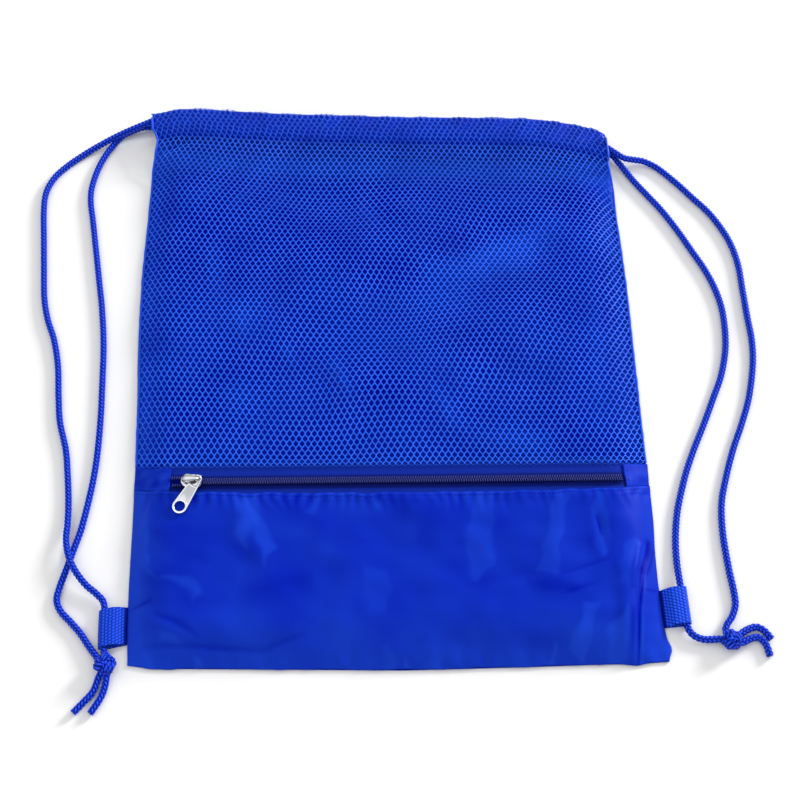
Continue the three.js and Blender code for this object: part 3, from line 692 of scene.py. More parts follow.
def tube(path, radius):
    """Points and faces of a closed tube along a path, with a radius for each ring and side."""
    rings, sides = radius.shape
    across, up = tube_frames(path)
    turn = np.arange(sides) * 2 * np.pi / sides
    out = across[:, None] * np.cos(turn)[:, None] + up[:, None] * np.sin(turn)[:, None]
    points = (path[:, None] + out * radius[..., None]).reshape(-1, 3)
    index = np.arange(rings * sides).reshape(rings, sides)
    after = np.roll(index, -1, axis=1)
    wall = np.stack([index[:-1], after[:-1], after[1:], index[1:]], -1).reshape(-1, 4)
    first = np.stack([np.full(sides, rings * sides), after[0], index[0]], -1)
    last = np.stack([np.full(sides, rings * sides + 1), index[-1], after[-1]], -1)
    return np.concatenate([points, path[:1], path[-1:]]), [wall, first, last]


# Nylon wire, drawn and heat-set: smooth, near-black blue, with a painted highlight, a thin bright
# line along the top of each turn
nylon, nodes = new_material("drawn_nylon_wire")
coil_highlight = add_node(nodes, "Attribute", {}, attribute_name="crown")
wire_shade = add_node(
    nodes,
    "Mix",
    {0: coil_highlight.outputs["Fac"], 6: linear(NYLON_NAVY), 7: linear(NYLON_HIGHLIGHT)},
    data_type="RGBA",
)
nylon_shader = add_node(
    nodes,
    "BsdfPrincipled",
    {
        "Base Color": wire_shade.outputs[2],
        "Roughness": 0.35,
        "IOR": 1.53,
        "Specular IOR Level": 0.06,
    },
)
add_node(nodes, "OutputMaterial", {"Surface": nylon_shader.outputs["BSDF"]})

coil_turns = int((ZIP_RIGHT - ZIP_LEFT - 2 * COIL_END_GAP) / COIL_PITCH)
for name, side, start in (("upper", 1, 0.0), ("lower", -1, 0.5)):
    wind = np.arange((coil_turns - 1) * COIL_STEPS + 1) / COIL_STEPS
    coil_x = ZIP_LEFT + COIL_END_GAP + COIL_WIRE + COIL_PITCH * (wind + start)
    parting = zip_parting(coil_x)
    lean = (1 - np.cos(2 * np.pi * wind)) / 2
    reach = mix(COIL_SET_BACK - COIL_OVERLAP * (1 - parting), COIL_REACH - COIL_WIRE, lean)
    coil_y = zip_line(coil_x) + side * (reach + COIL_SPREAD * parting)
    bed = front_height(coil_x, zip_line(coil_x)) - COIL_BED
    lift = COIL_LEVEL + COIL_HALF_HEIGHT * np.sin(2 * np.pi * wind)
    coil_path = np.stack([coil_x, coil_y, bed + lift], -1)
    coil_points, coil_faces = tube(coil_path, np.full((len(wind), COIL_SIDES), COIL_WIRE))
    # Painted highlight along the top of each turn of the wire
    crown = np.repeat(smoothstep(np.sin(2 * np.pi * wind), *COIL_HIGHLIGHT_SPAN), COIL_SIDES)
    add_piece(
        "coil_" + name,
        coil_points,
        coil_faces,
        nylon,
        "nylon_coil",
        ["zip_coil_" + name],
        values={"crown": np.concatenate([crown, [0, 0]])},
    )

# Slider: a nickel-plated die casting that joins the coils, with two plates on a post, flanges
# that hold the closed coils, and a domed, leaf-shaped crown that keeps the pull tab.
SLIDER_TOP = 16.6
# Outline of a plate: x, half width
PLATE_EDGE = np.array([(-6.5, 1.6), (-4.9, 3.8), (-3.5, 4.6), (5.3, 3.9), (6.5, 2.7)])
PLATE_STEPS = 27
PLATE_THICKNESS = 1.2
FLOOR_PLATE = (-6.3, -5.3)
FLANGES = {"x": (2.5, 5.9), "y": (3.15, 3.95), "z": (-3.7, -0.6)}
POST = {"x": (-5.9, -3.7), "width": 2.0, "z": (-5.8, -0.6), "taper": 0.15, "round": 0.05}
POST_STEPS = 9
# Crown, from its rear foot over the dome to its leg: outer x and z, inner x and z, half width
CROWN = np.array(
    [
        (-6.1, -0.5, -3.3, -0.5, 1.2),
        (-5.95, 1.2, -3.25, 0.6, 1.9),
        (-5.0, 2.75, -3.1, 1.7, 2.6),
        (-3.7, 3.6, -2.7, 2.4, 2.95),
        (-2.2, 3.95, -1.9, 2.75, 2.95),
        (0.0, 3.95, 0.0, 2.75, 2.5),
        (2.0, 3.75, 1.9, 2.7, 1.8),
        (3.6, 3.3, 2.9, 2.45, 1.25),
        (4.6, 2.7, 3.4, 1.9, 1.1),
        (4.95, 1.9, 3.5, 1.2, 1.1),
        (4.95, -0.5, 3.5, -0.5, 1.1),
    ]
)
CROWN_ROUNDNESS = 0.8
CROWN_STEP = 0.35
CROWN_SIDES = 24
EDGE_ROUND = 0.25
EDGE_STEPS = 2
WELD = 0.001
NICKEL_PALE = "f2f2f4"
NICKEL_DULL = "cbccd1"
NICKEL_SUNK = "b6b8be"
NICKEL_PAINTED_SHADE = "5c5c5f"
# Bands of painted shade and dark reflection along the crown, in shares of its half width:
# middle, reach, strength
CROWN_PAINTED_SHADE = [(0.5, 0.28, 0.75), (-0.72, 0.2, 0.95)]
NICKEL_GRAIN = 0.5 * MM
NICKEL_RELIEF = 0.06 * MM


def plate(loops, bottom, top, rounding):
    """Points and faces of a flat plate with rounded rims. The loops after the first are holes."""
    curve = bpy.data.curves.new("plate", "CURVE")
    curve.dimensions = "2D"
    curve.fill_mode = "BOTH"
    curve.extrude = (top - bottom) / 2 - rounding
    curve.bevel_depth = rounding
    curve.bevel_resolution = EDGE_STEPS
    curve.offset = -rounding
    for loop in loops:
        spline = curve.splines.new("POLY")
        spline.points.add(len(loop) - 1)
        for point, (px, py) in zip(spline.points, loop):
            point.co = (px, py, 0.0, 1.0)
        spline.use_cyclic_u = True
    holder = place_in_scene("plate", curve)
    mesh = bpy.data.meshes.new_from_object(holder)
    shell = bmesh.new()
    shell.from_mesh(mesh)
    bmesh.ops.remove_doubles(shell, verts=shell.verts, dist=WELD)
    points = np.array([v.co for v in shell.verts]) + (0, 0, (top + bottom) / 2)
    faces = [np.array([[v.index for v in f.verts]]) for f in shell.faces]
    shell.free()
    bpy.data.objects.remove(holder)
    bpy.data.curves.remove(curve)
    bpy.data.meshes.remove(mesh)
    return points, faces


def joined(parts):
    """Several parts' points and faces as one."""
    points, faces, count = [], [], 0
    for part_points, part_faces in parts:
        points.append(part_points)
        faces += [np.asarray(group) + count for group in part_faces]
        count += len(part_points)
    return np.concatenate(points), faces


def mirrored(edge):
    """A loop that runs out along one side of an edge table and back along the other."""
    return np.concatenate([edge * (1, -1), edge[::-1]])


# Nickel plate on a zinc casting: bright and a little hazy, with darker grain where it is cast,
# and painted shade: grey and dark bands on the crown and round the pull's window that stand for
# shade and dark reflections
nickel, nodes = new_material("nickel_plate")
place = add_node(nodes, "TexCoord", {}).outputs["Object"]
grain = add_node(nodes, "TexNoise", {"Vector": place, "Scale": 1 / NICKEL_GRAIN, "Detail": 3.0})
nickel_shade = add_node(
    nodes,
    "Mix",
    {0: grain.outputs[0], 6: linear(NICKEL_DULL), 7: linear(NICKEL_PALE)},
    data_type="RGBA",
)
sunk = add_node(nodes, "Attribute", {}, attribute_name="sunk")
nickel_face = add_node(
    nodes,
    "Mix",
    {0: sunk.outputs["Fac"], 6: nickel_shade.outputs[2], 7: linear(NICKEL_SUNK)},
    data_type="RGBA",
)
painted_shade = add_node(nodes, "Attribute", {}, attribute_name="painted_shade")
nickel_shaded = add_node(
    nodes,
    "Mix",
    {0: painted_shade.outputs["Fac"], 6: nickel_face.outputs[2], 7: linear(NICKEL_PAINTED_SHADE)},
    data_type="RGBA",
)
nickel_bump = add_node(
    nodes, "Bump", {"Height": grain.outputs[0], "Strength": 0.3, "Distance": NICKEL_RELIEF}
)
nickel_shader = add_node(
    nodes,
    "BsdfPrincipled",
    {
        "Base Color": nickel_shaded.outputs[2],
        "Normal": nickel_bump.outputs["Normal"],
        "Metallic": 1.0,
        "Roughness": 0.2,
    },
)
add_node(nodes, "OutputMaterial", {"Surface": nickel_shader.outputs["BSDF"]})

plate_x = np.linspace(PLATE_EDGE[0, 0], PLATE_EDGE[-1, 0], PLATE_STEPS)
plate_half = np.interp(plate_x, PLATE_EDGE[:, 0], PLATE_EDGE[:, 1])
plate_loop = mirrored(np.column_stack([plate_x, plate_half]))
slider_parts = [
    plate([plate_loop], -PLATE_THICKNESS, 0.0, EDGE_ROUND),
    plate([plate_loop], *FLOOR_PLATE, EDGE_ROUND),
]
for side in (-1, 1):
    (x0, x1), (y0, y1) = FLANGES["x"], FLANGES["y"]
    flange = np.array([(x0, y0), (x1, y0), (x1, y1), (x0, y1)]) * (1, side)
    slider_parts.append(plate([flange[::side]], *FLANGES["z"], EDGE_ROUND / 2))
post_x = np.linspace(*POST["x"], POST_STEPS)
post_turn = np.linspace(POST["taper"], np.pi - POST["taper"], POST_STEPS)
post_loop = mirrored(np.column_stack([post_x, POST["width"] / 2 * np.sin(post_turn)]))
slider_parts.append(plate([post_loop], *POST["z"], POST["round"]))
stations = smooth_route(CROWN, CROWN_STEP)
turn = np.linspace(0, 2 * np.pi, CROWN_SIDES, endpoint=False)
outward = np.sign(np.cos(turn)) * np.abs(np.cos(turn)) ** CROWN_ROUNDNESS
sideways = np.sign(np.sin(turn)) * np.abs(np.sin(turn)) ** CROWN_ROUNDNESS
outer, inner, half_width = stations[:, 0:2], stations[:, 2:4], stations[:, 4]
section = (outer + inner)[:, None] / 2 + (outer - inner)[:, None] / 2 * outward[:, None]
crown_points = np.stack([section[..., 0], half_width[:, None] * sideways, section[..., 1]], -1)
ring = np.arange(crown_points[..., 0].size).reshape(crown_points.shape[:2])
ring_after = np.roll(ring, -1, axis=1)
crown_wall = np.stack([ring[:-1], ring[1:], ring_after[1:], ring_after[:-1]], -1).reshape(-1, 4)
crown_faces = [crown_wall, ring[:1], ring[-1:, ::-1]]
slider_parts.append((crown_points.reshape(-1, 3), crown_faces))
slider_points, slider_faces = joined(slider_parts)
# Painted shade and dark reflection in bands along the crown's sides
crown_painted_shade = sum(
    strength * fade(sideways - middle, reach) for middle, reach, strength in CROWN_PAINTED_SHADE
)
slider_painted_shade = np.zeros(len(slider_points))
slider_painted_shade[-ring.size :] = np.tile(crown_painted_shade, len(stations))
slider_place = np.array((SLIDER_X, zip_line(SLIDER_X), SLIDER_TOP))
add_piece(
    "slider",
    slider_points + slider_place,
    slider_faces,
    nickel,
    "nickel",
    ["zip_slider"],
    values={"sunk": np.zeros(len(slider_points)), "painted_shade": slider_painted_shade},
)

# Pull tab: a stamped nickel-plated plate that hangs loose on the crown's leg and swings round it.
# It has a raised rim, a window for the leg, a sunk plain face and a round hole at its free end.
LEG_X = 4.2
PULL_RISE = 1.65
PULL_SLACK = (-0.4, -0.7)
PULL_TURN = math.radians(-120)
PULL_DIP = math.radians(7.3)
NECK = {"x": -0.4, "radius": 3.2}
RING = {"x": 20.4, "radius": 4.9, "hole": 3.5}
WINDOW = {"radius": 1.95, "length": 4.4}
PULL_HALF = 0.6
PULL_ROUND = 0.2
FACE_HALF = 0.3
FACE_ROUND = 0.02
FACE_OVERLAP = 1.02
FACE_START = 5.3
FACE_RIM = 0.85
FACE_END = 3.6
RING_BAR = 4.85
ARC_STEPS = {"ring": 33, "neck": 25, "hole": 41, "window": 15, "face": 15}
WINDOW_EDGE = 0.4
WINDOW_PAINTED_SHADE = 0.8


def arc(x, radius, start, end, steps):
    turn = np.linspace(start, end, steps)
    return np.column_stack([x + radius * np.cos(turn), radius * np.sin(turn)])


splay = math.acos((NECK["radius"] - RING["radius"]) / (RING["x"] - NECK["x"]))
pull_edge = np.concatenate(
    [
        arc(RING["x"], RING["radius"], -splay, splay, ARC_STEPS["ring"]),
        arc(NECK["x"], NECK["radius"], splay, 2 * math.pi - splay, ARC_STEPS["neck"]),
    ]
)
hole = arc(RING["x"], RING["hole"], 2 * math.pi, 0, ARC_STEPS["hole"])[:-1]
window_end = NECK["x"] + WINDOW["length"]
window = np.concatenate(
    [
        arc(NECK["x"], WINDOW["radius"], 1.5 * math.pi, 0.5 * math.pi, ARC_STEPS["window"]),
        [(window_end, WINDOW["radius"]), (window_end, -WINDOW["radius"])],
    ]
)
rim_lean = (RING["radius"] - NECK["radius"]) / (RING["x"] - NECK["x"])


def face_half(x):
    """Half the width of the sunk face: the plate's own, less its rim."""
    return NECK["radius"] + rim_lean * (x - NECK["x"]) - FACE_RIM


far_turn = math.asin(face_half(RING["x"] - FACE_END) / RING_BAR)
near_half = face_half(FACE_START)
face_loop = np.concatenate(
    [
        arc(RING["x"], RING_BAR, math.pi + far_turn, math.pi - far_turn, ARC_STEPS["face"]),
        [(FACE_START, near_half), (FACE_START, -near_half)],
    ]
)
rim_part = plate([pull_edge, hole, face_loop[::-1], window], -PULL_HALF, PULL_HALF, PULL_ROUND)
face_part = plate([face_loop * (1, FACE_OVERLAP)], -FACE_HALF, FACE_HALF, FACE_ROUND)
pull_points, pull_faces = joined([rim_part, face_part])
sunk_share = (np.arange(len(pull_points)) >= len(rim_part[0])).astype(float)
# Painted shade round the window, where the crown's leg passes through
window_low = NECK["x"] - WINDOW["radius"] - WINDOW_EDGE
at_window = (pull_points[:, 0] > window_low) & (pull_points[:, 0] < window_end + WINDOW_EDGE)
at_window &= np.abs(pull_points[:, 1]) < WINDOW["radius"] + WINDOW_EDGE
pull_painted_shade = WINDOW_PAINTED_SHADE * at_window
dip = np.array(
    [
        (math.cos(PULL_DIP), 0, math.sin(PULL_DIP)),
        (0, 1, 0),
        (-math.sin(PULL_DIP), 0, math.cos(PULL_DIP)),
    ]
)
swing = np.array(
    [
        (math.cos(PULL_TURN), -math.sin(PULL_TURN), 0),
        (math.sin(PULL_TURN), math.cos(PULL_TURN), 0),
        (0, 0, 1),
    ]
)
pull_place = slider_place + (LEG_X + PULL_SLACK[0], PULL_SLACK[1], PULL_RISE)
add_piece(
    "pull_tab",
    pull_points @ (swing @ dip).T + pull_place,
    pull_faces,
    nickel,
    "nickel",
    ["zip_pull"],
    body="pull",
    values={"sunk": sunk_share, "painted_shade": pull_painted_shade},
)

# Net: a knitted polyester net that makes the upper front, sewn to the zip tape at its lower edge.
# Its top edge is folded in as the front half of the casing, and its sides end in the side seams.
NET_COLUMNS = 82
NET_ROWS = 75
NET_CASING_ROWS = 16
NET_ABOVE_ZIP = 10.2
NET_EDGE_INSET = 0.4
NET_EDGE_DRAW = 1.9
NET_EDGE_FLARE = 2.2
NET_FLARE_ROWS = 4
NET_RIGHT_DRAW = 1.4
NET_HEM_DRAW = 4.5
NET_HEM_ROWS = 2.0
NET_LOOSE_REACH = 30.0
NET_SEWN_TO = 0.8
NET_CALM = {"lower": 4, "upper": 5}
FRONT_CASING_MIDDLE = 19.1
FRONT_HEM_MIDDLE = 13.5
# The net from the casing's seam up to its fold: depth below the edge, height, inset at the sides
NET_RISE = [
    (CASING_DEPTH, FRONT_STITCH_MIDDLE, NET_EDGE_INSET + NET_EDGE_DRAW),
    (20, 18.55, 0.5),
    (15, FRONT_CASING_MIDDLE, -NET_EDGE_FLARE),
]
PILLAR_HALF = 0.17
THREAD_SHARE = 0.235
CASING_DIM = -0.28
UNDER_CASING_LIGHT = 0.06
UNDER_CASING_REACH = 22.0
ABOVE_ZIP_LIGHT = 0.2
ABOVE_ZIP_REACH = 9.0
THREAD_RISE = 0.3
THREAD_SINK = -0.1
THREAD_SIDE = 0.5
THREAD_LIGHT = 0.85
THREAD_FOLD_GAIN = 0.2
THREAD_WAVES = [(16, 45, 0.1), (17, 7, 0.08)]
ROW_SPREAD = 0.14
ROW_WAVES = [(11, 105, 2.89)]
COLUMN_WAVES = [(12, 90, 1.148)]
NET_WAVES = [(13, 60, 0.5)]
NET_TOP_WAVES = [(15, 15, 1.0)]
NET_TOP_UNEVEN = (0, 0.3, 0.25)
NET_TOP_REACH = 8.0
NORMAL_STEP = {"share": 0.004, "row": 0.4}
NET_CREASE = ([(-176, 170), (-162, 177), (-147, 183)], 2.2, -2.2)
LINING_DEPTH = 0.5
LINING_INSET = 0.8
LINING_ROWS = 16
LINING_THICKNESS = 0.4
LINING_SHADE = 0.0
ROLL_SHADE = 0.4
ROLL_ROWS = (0.5, 81.0)
ROLL_STEPS = 280
ROLL_SIDES = 8
ROLL_SHARES = (0.001, 0.999)
ROLL_WAVES = [(14, 9, 0.16)]
CASING_SEAM = 22.0
CASING_SEAM_SHARES = (0.01, 0.99)
CASING_SEAM_STEPS = 400
SEAM_ROLL = 0.8
STITCH_PITCH = 3.2
STITCH_LENGTH = 2.3
STITCH_RADIUS = 0.22
STITCH_POINTS = 7
STITCH_SIDES = 6
STITCH_ARCH = 0.9
STITCH_SINK = 0.3
STITCH_TIP = 0.35
FIRST_STITCH = 2.0
NET_BRIGHT = "2d6eff"
NET_SHADED = "00128f"


def stitches(line, normal, first):
    """Points and faces of a row of sewing stitches that lie along a line on the cloth."""
    run = run_along(line)
    share = np.linspace(-0.5, 0.5, STITCH_POINTS)
    arch = np.sqrt(np.clip(1 - (2 * share) ** 2, 0, 1))
    lift = STITCH_RADIUS * (STITCH_ARCH * arch - STITCH_SINK)
    radius = np.repeat(STITCH_RADIUS * mix(STITCH_TIP, 1, arch)[:, None], STITCH_SIDES, axis=1)
    parts = []
    for middle in np.arange(first, run[-1] - STITCH_LENGTH, STITCH_PITCH):
        at = middle + share * STITCH_LENGTH
        path = np.stack([np.interp(at, run, column) for column in line.T], -1)
        rise = np.stack([np.interp(at, run, column) for column in normal.T], -1)
        parts.append(tube(path + rise * lift[:, None], radius))
    return joined(parts)


def net_threads(columns, rows):
    """Threads of the net, each as its two knots and the holes on its left and right."""
    threads = []
    for j in range(-1, rows):
        for k in range(columns + 1):
            above = (k - 1 + j % 2, j + 1)
            foot, head = ("foot", k, j), ("head", k, j)
            if j >= 0:
                threads.append((foot, head, (k - 1, j), (k, j)))
            threads.append((head, ("foot", above[0] + 1, j + 1), above, (k, j)))
            threads.append((head, ("foot", above[0], j + 1), (k - 1, j), above))
    return threads


def net_mesh(columns, rows):
    """Lattice places (column, row, rise) and faces of the net, as threads with a ridge."""
    places, faces, knots, rings = [], {4: [], 3: []}, {}, {}

    def real(cell):
        return 0 <= cell[0] < columns and 0 <= cell[1] < rows

    def cell_middle(cell):
        return np.array((cell[0] + 0.5 + 0.5 * (cell[1] % 2), cell[1]))

    def knot_place(knot):
        kind, k, j = knot
        return np.array((k + 0.5 * (j % 2), j + (PILLAR_HALF if kind == "head" else -PILLAR_HALF)))

    def cells_round(knot):
        kind, k, j = knot
        over = (k - 1 + j % 2, j + 1 if kind == "head" else j - 1)
        return [(k - 1, j), over, (k, j)] if kind == "head" else [over, (k - 1, j), (k, j)]

    def vertex(place, rise):
        places.append((*place, rise))
        return len(places) - 1

    def knot_vertex(knot):
        if knot not in knots:
            knots[knot] = vertex(knot_place(knot), THREAD_RISE)
        return knots[knot]

    def ring_vertex(knot, cell):
        key = (knot, cell if real(cell) else None)
        if key not in rings:
            here = knot_place(knot)
            if real(cell):
                way = cell_middle(cell) - here
            else:
                near = [cell_middle(c) for c in cells_round(knot) if real(c)]
                way = here - np.mean(near, axis=0)
            rings[key] = vertex(here + way * THREAD_SHARE, THREAD_SINK)
        return rings[key]

    for a, b, left, right in net_threads(columns, rows):
        if not (real(left) or real(right)):
            continue
        top_a, top_b = knot_vertex(a), knot_vertex(b)
        left_a, left_b = ring_vertex(a, left), ring_vertex(b, left)
        right_a, right_b = ring_vertex(a, right), ring_vertex(b, right)
        faces[4].append((top_a, top_b, left_b, left_a))
        faces[4].append((top_b, top_a, right_a, right_b))
        faces[4].append((left_a, left_b, right_b, right_a))
    for knot in knots:
        corners = cells_round(knot)
        if sum(real(cell) for cell in corners) >= 2:
            faces[3].append([ring_vertex(knot, cell) for cell in corners])
    return np.array(places), [np.array(faces[4]), np.array(faces[3])]


net_turn = casing_rows(FRONT_CASING_MIDDLE, FRONT_HEM_MIDDLE, FRONT_HEM_MIDDLE)
net_turn[:NET_FLARE_ROWS, 2] -= NET_EDGE_FLARE
net_fold = np.concatenate([NET_RISE, net_turn])
net_fold_run = run_along(net_fold[:, :2])


def net_place(column_share, row):
    """Points of the net's middle, by the share of the width and the row from the zip."""
    share = np.clip(row / NET_ROWS, 0, 1)
    seam_level = top_edge(0.0) - CASING_DEPTH
    level = mix(zip_line(0.0) + NET_ABOVE_ZIP, seam_level, share)
    calm = np.minimum(1, NET_CALM["lower"] * share) * np.minimum(1, NET_CALM["upper"] * (1 - share))
    u = np.clip(column_share, 0, 1)
    loose = smoothstep(level, seam_level - NET_LOOSE_REACH, seam_level)
    inset = NET_EDGE_INSET + NET_EDGE_DRAW * loose
    x = mix(left_seam(level) + inset, right_seam(level) - inset, u)
    climb = share + ROW_SPREAD * share * (1 - share)
    y = mix(zip_line(x) + NET_ABOVE_ZIP, top_edge(x) - CASING_DEPTH, climb)
    side = np.minimum(x - left_seam(level), right_seam(level) - x)
    sewn = 1 - smoothstep(share, NET_SEWN_TO, 1)
    y = y + ZIP_END_LIFT * (1 - puff(side, SIDE_ROUND)) * (sewn - (1 - climb))
    y = y - NET_HEM_DRAW * (1 - np.exp(-np.clip(row, 0, None) / NET_HEM_ROWS)) * (1 - share)
    sway = calm * np.sqrt(np.sin(np.pi * u))
    y = y + sway * waves(x, y, ROW_WAVES)
    x = x + sway * waves(x, y, COLUMN_WAVES)
    z = front_height(x, y) + calm * waves(x, y, NET_WAVES) + ridge(x, y, *NET_CREASE)
    wall = np.stack([x, y, z], -1)
    run = np.clip(row / NET_ROWS - 1, 0, None) * NET_ROWS / NET_CASING_ROWS * net_fold_run[-1]
    inset, height, bare = (np.interp(run, net_fold_run, net_fold[:, k]) for k in range(3))
    casing = casing_place(u, inset, height, bare, NET_RIGHT_DRAW)
    casing[..., 2] -= casing_droop(casing[..., 0])
    uneven = waves(casing[..., 0], casing[..., 1], NET_TOP_WAVES) * np.clip(run / NET_TOP_REACH, 0, 1)
    casing = casing + uneven[..., None] * NET_TOP_UNEVEN
    return np.where((row > NET_ROWS)[..., None], casing, wall)


def net_normal(column_share, row):
    aside, ahead = NORMAL_STEP["share"], NORMAL_STEP["row"]
    across = net_place(column_share + aside, row) - net_place(column_share - aside, row)
    along = net_place(column_share, row + ahead) - net_place(column_share, row - ahead)
    normal = np.cross(across, along)
    return normal / np.linalg.norm(normal, axis=-1, keepdims=True)


# Polyester net, knitted of bright yarn: thin threads with painted light along their ridges and
# painted shade, deep blue, at their sides
net_yarn, nodes = new_material("knitted_polyester_net")
thread_height = add_node(nodes, "Attribute", {}, attribute_name="thread")
net_shade = add_node(
    nodes,
    "Mix",
    {0: thread_height.outputs["Fac"], 6: linear(NET_SHADED), 7: linear(NET_BRIGHT)},
    data_type="RGBA",
)
net_shader = add_node(
    nodes,
    "BsdfPrincipled",
    {
        "Base Color": net_shade.outputs[2],
        "Roughness": 0.42,
        "IOR": 1.57,
        "Specular IOR Level": 0.7,
        "Specular Tint": linear(NET_BRIGHT),
    },
)
add_node(nodes, "OutputMaterial", {"Surface": net_shader.outputs["BSDF"]})

total_rows = NET_ROWS + NET_CASING_ROWS
lattice, net_faces = net_mesh(NET_COLUMNS, total_rows)
net_u = lattice[:, 0] / (NET_COLUMNS + 0.5)
row_start = 1 - PILLAR_HALF
net_row = (lattice[:, 1] + row_start) * total_rows / (total_rows + row_start - PILLAR_HALF)
net_row = np.clip(net_row, 0.0, total_rows)
net_points = net_place(net_u, net_row) + net_normal(net_u, net_row) * lattice[:, 2:3]
net_parts = [(net_points, net_faces)]
# A lining strip just inside the fold, which backs the net of the casing; its colour is the
# threads' painted shade, for the shaded inside of the casing
way = np.gradient(net_fold[:, :2], axis=0)
way /= np.linalg.norm(way, axis=1, keepdims=True)
lining = net_fold + np.column_stack([-way[:, 1], way[:, 0], 0 * way[:, 0]]) * LINING_DEPTH
lining[:, 2] += LINING_INSET
lining_rows = (lining[:LINING_ROWS, k : k + 1] for k in range(3))
lining_grid = casing_place(width_share, *lining_rows, NET_RIGHT_DRAW + LINING_INSET)
lining_grid[..., 2] -= casing_droop(lining_grid[..., 0])
lining_points, lining_faces = closed_sheet(lining_grid, LINING_THICKNESS)
net_parts.append((lining_points, [lining_faces]))
# The net's side edges, rolled into the side seams
roll_start = sum(len(part[0]) for part in net_parts)
roll_rows = np.linspace(*ROLL_ROWS, ROLL_STEPS)
for roll_share in ROLL_SHARES:
    roll_path = net_place(roll_share + 0 * roll_rows, roll_rows)
    uneven = 1 + waves(roll_path[:, 1], 0 * roll_rows, ROLL_WAVES)
    net_parts.append(tube(roll_path, np.repeat(SEAM_ROLL * uneven[:, None], ROLL_SIDES, axis=1)))
roll_end = sum(len(part[0]) for part in net_parts)
# The row of stitches that closes the casing
rise_count = len(NET_RISE)
seam_run = np.interp(-CASING_SEAM, -net_fold[:rise_count, 0], net_fold_run[:rise_count])
seam_u = np.linspace(*CASING_SEAM_SHARES, CASING_SEAM_STEPS)
seam_rows = np.full(CASING_SEAM_STEPS, NET_ROWS + NET_CASING_ROWS * seam_run / net_fold_run[-1])
seam_up = net_normal(seam_u, seam_rows)
seam_path = net_place(seam_u, seam_rows) + seam_up * THREAD_RISE
net_parts.append(stitches(seam_path, seam_up, FIRST_STITCH))
net_all_points, net_all_faces = joined(net_parts)
# Painted light of the threads: more on folds, below the casing and beside the zip, less in the casing
thread_values = np.full(len(net_all_points), LINING_SHADE)
net_x, net_y = net_points[:, 0], net_points[:, 1]
fold_gain = sum(ridge(net_x, net_y, *fold_line) for fold_line in BACK_FOLDS)
thread_gain = THREAD_LIGHT + THREAD_FOLD_GAIN * fold_gain + waves(net_x, net_y, THREAD_WAVES)
below_casing = top_edge(net_x) - CASING_DEPTH - net_y
under_casing = UNDER_CASING_LIGHT * fade(below_casing, UNDER_CASING_REACH)
thread_gain = thread_gain + np.where(below_casing > 0, under_casing, CASING_DIM)
above_zip = net_y - zip_line(net_x) - NET_ABOVE_ZIP
thread_gain = thread_gain + ABOVE_ZIP_LIGHT * fade(above_zip, ABOVE_ZIP_REACH)
thread_values[: len(lattice)] = np.where(lattice[:, 2] > 0, 1.0, THREAD_SIDE) * thread_gain
thread_values[roll_start:roll_end] = ROLL_SHADE
net_front = add_piece(
    "net_front",
    net_all_points,
    net_all_faces,
    net_yarn,
    "net",
    ["mesh_panel"],
    values={"thread": thread_values},
)

# Lower front: a panel of the same taffeta below the zip, sewn to the back wall at its sides and
# bottom. Its top edge is turned in and topstitched to the tape, which puckers it a little.
LOWER_COLUMNS = 280
LOWER_ROWS = 106
PANEL_BELOW_ZIP = 6.5
PANEL_SAG = 2.5
PANEL_SAG_POWER = 0.6
HEM_THICKNESS = 1.0
HEM_DEPTH = 5.0
HEM_STEP = 0.8
STITCH_BELOW_EDGE = 2.3
PUCKER_LENGTH = 7.5
PUCKER_HEIGHT = 0.42
PUCKER_MIDDLE = 2.5
PUCKER_REACH = 9.0
PUCKER_START = (0.5, 5.0)
PUCKER_GAIN = 0.6
PUCKER_GAIN_WAVES = [(23, 60, 0.4)]
PUCKER_SHIFT_WAVES = [(24, 26, 1.6)]
PUCKER_LIGHT = 0.3
PUCKER_LIGHT_REACH = 8.0
EDGE_WAVES = [(28, 16, 0.35)]
EDGE_LIGHT = 0.25
EDGE_LIGHT_REACH = 1.2
SCALLOP_WAVES = [(21, 42, 0.3), (22, 17, 0.25)]
SCALLOP_SHARE = 0.04
SETTLE = {"side": 12.0, "foot": 16.0}
PANEL_WAVES = [(25, 62, 0.75), (26, 21, 0.22)]
RELIEF_START = (-0.5, 6.0)
FOOT_WAVES = [(27, 13, 0.5)]
FOOT_WAVE_START = 3.0
FOOT_WAVE_REACH = 9.0
FACET_WARP = {"x": [(33, 19, 1.1)], "y": [(34, 23, 1.6)]}
PANEL_LIGHT = 0.36
PANEL_LIGHT_WAVES = [(29, 48, 0.07), (30, 20, 0.03)]
SIDE_LIGHT = {"left": 0.75, "right": 0.2}
SIDE_LIGHT_REACH = 11.0
BOTTOM_LIGHT = 0.35
BOTTOM_LIGHT_REACH = (4.0, 44.0)
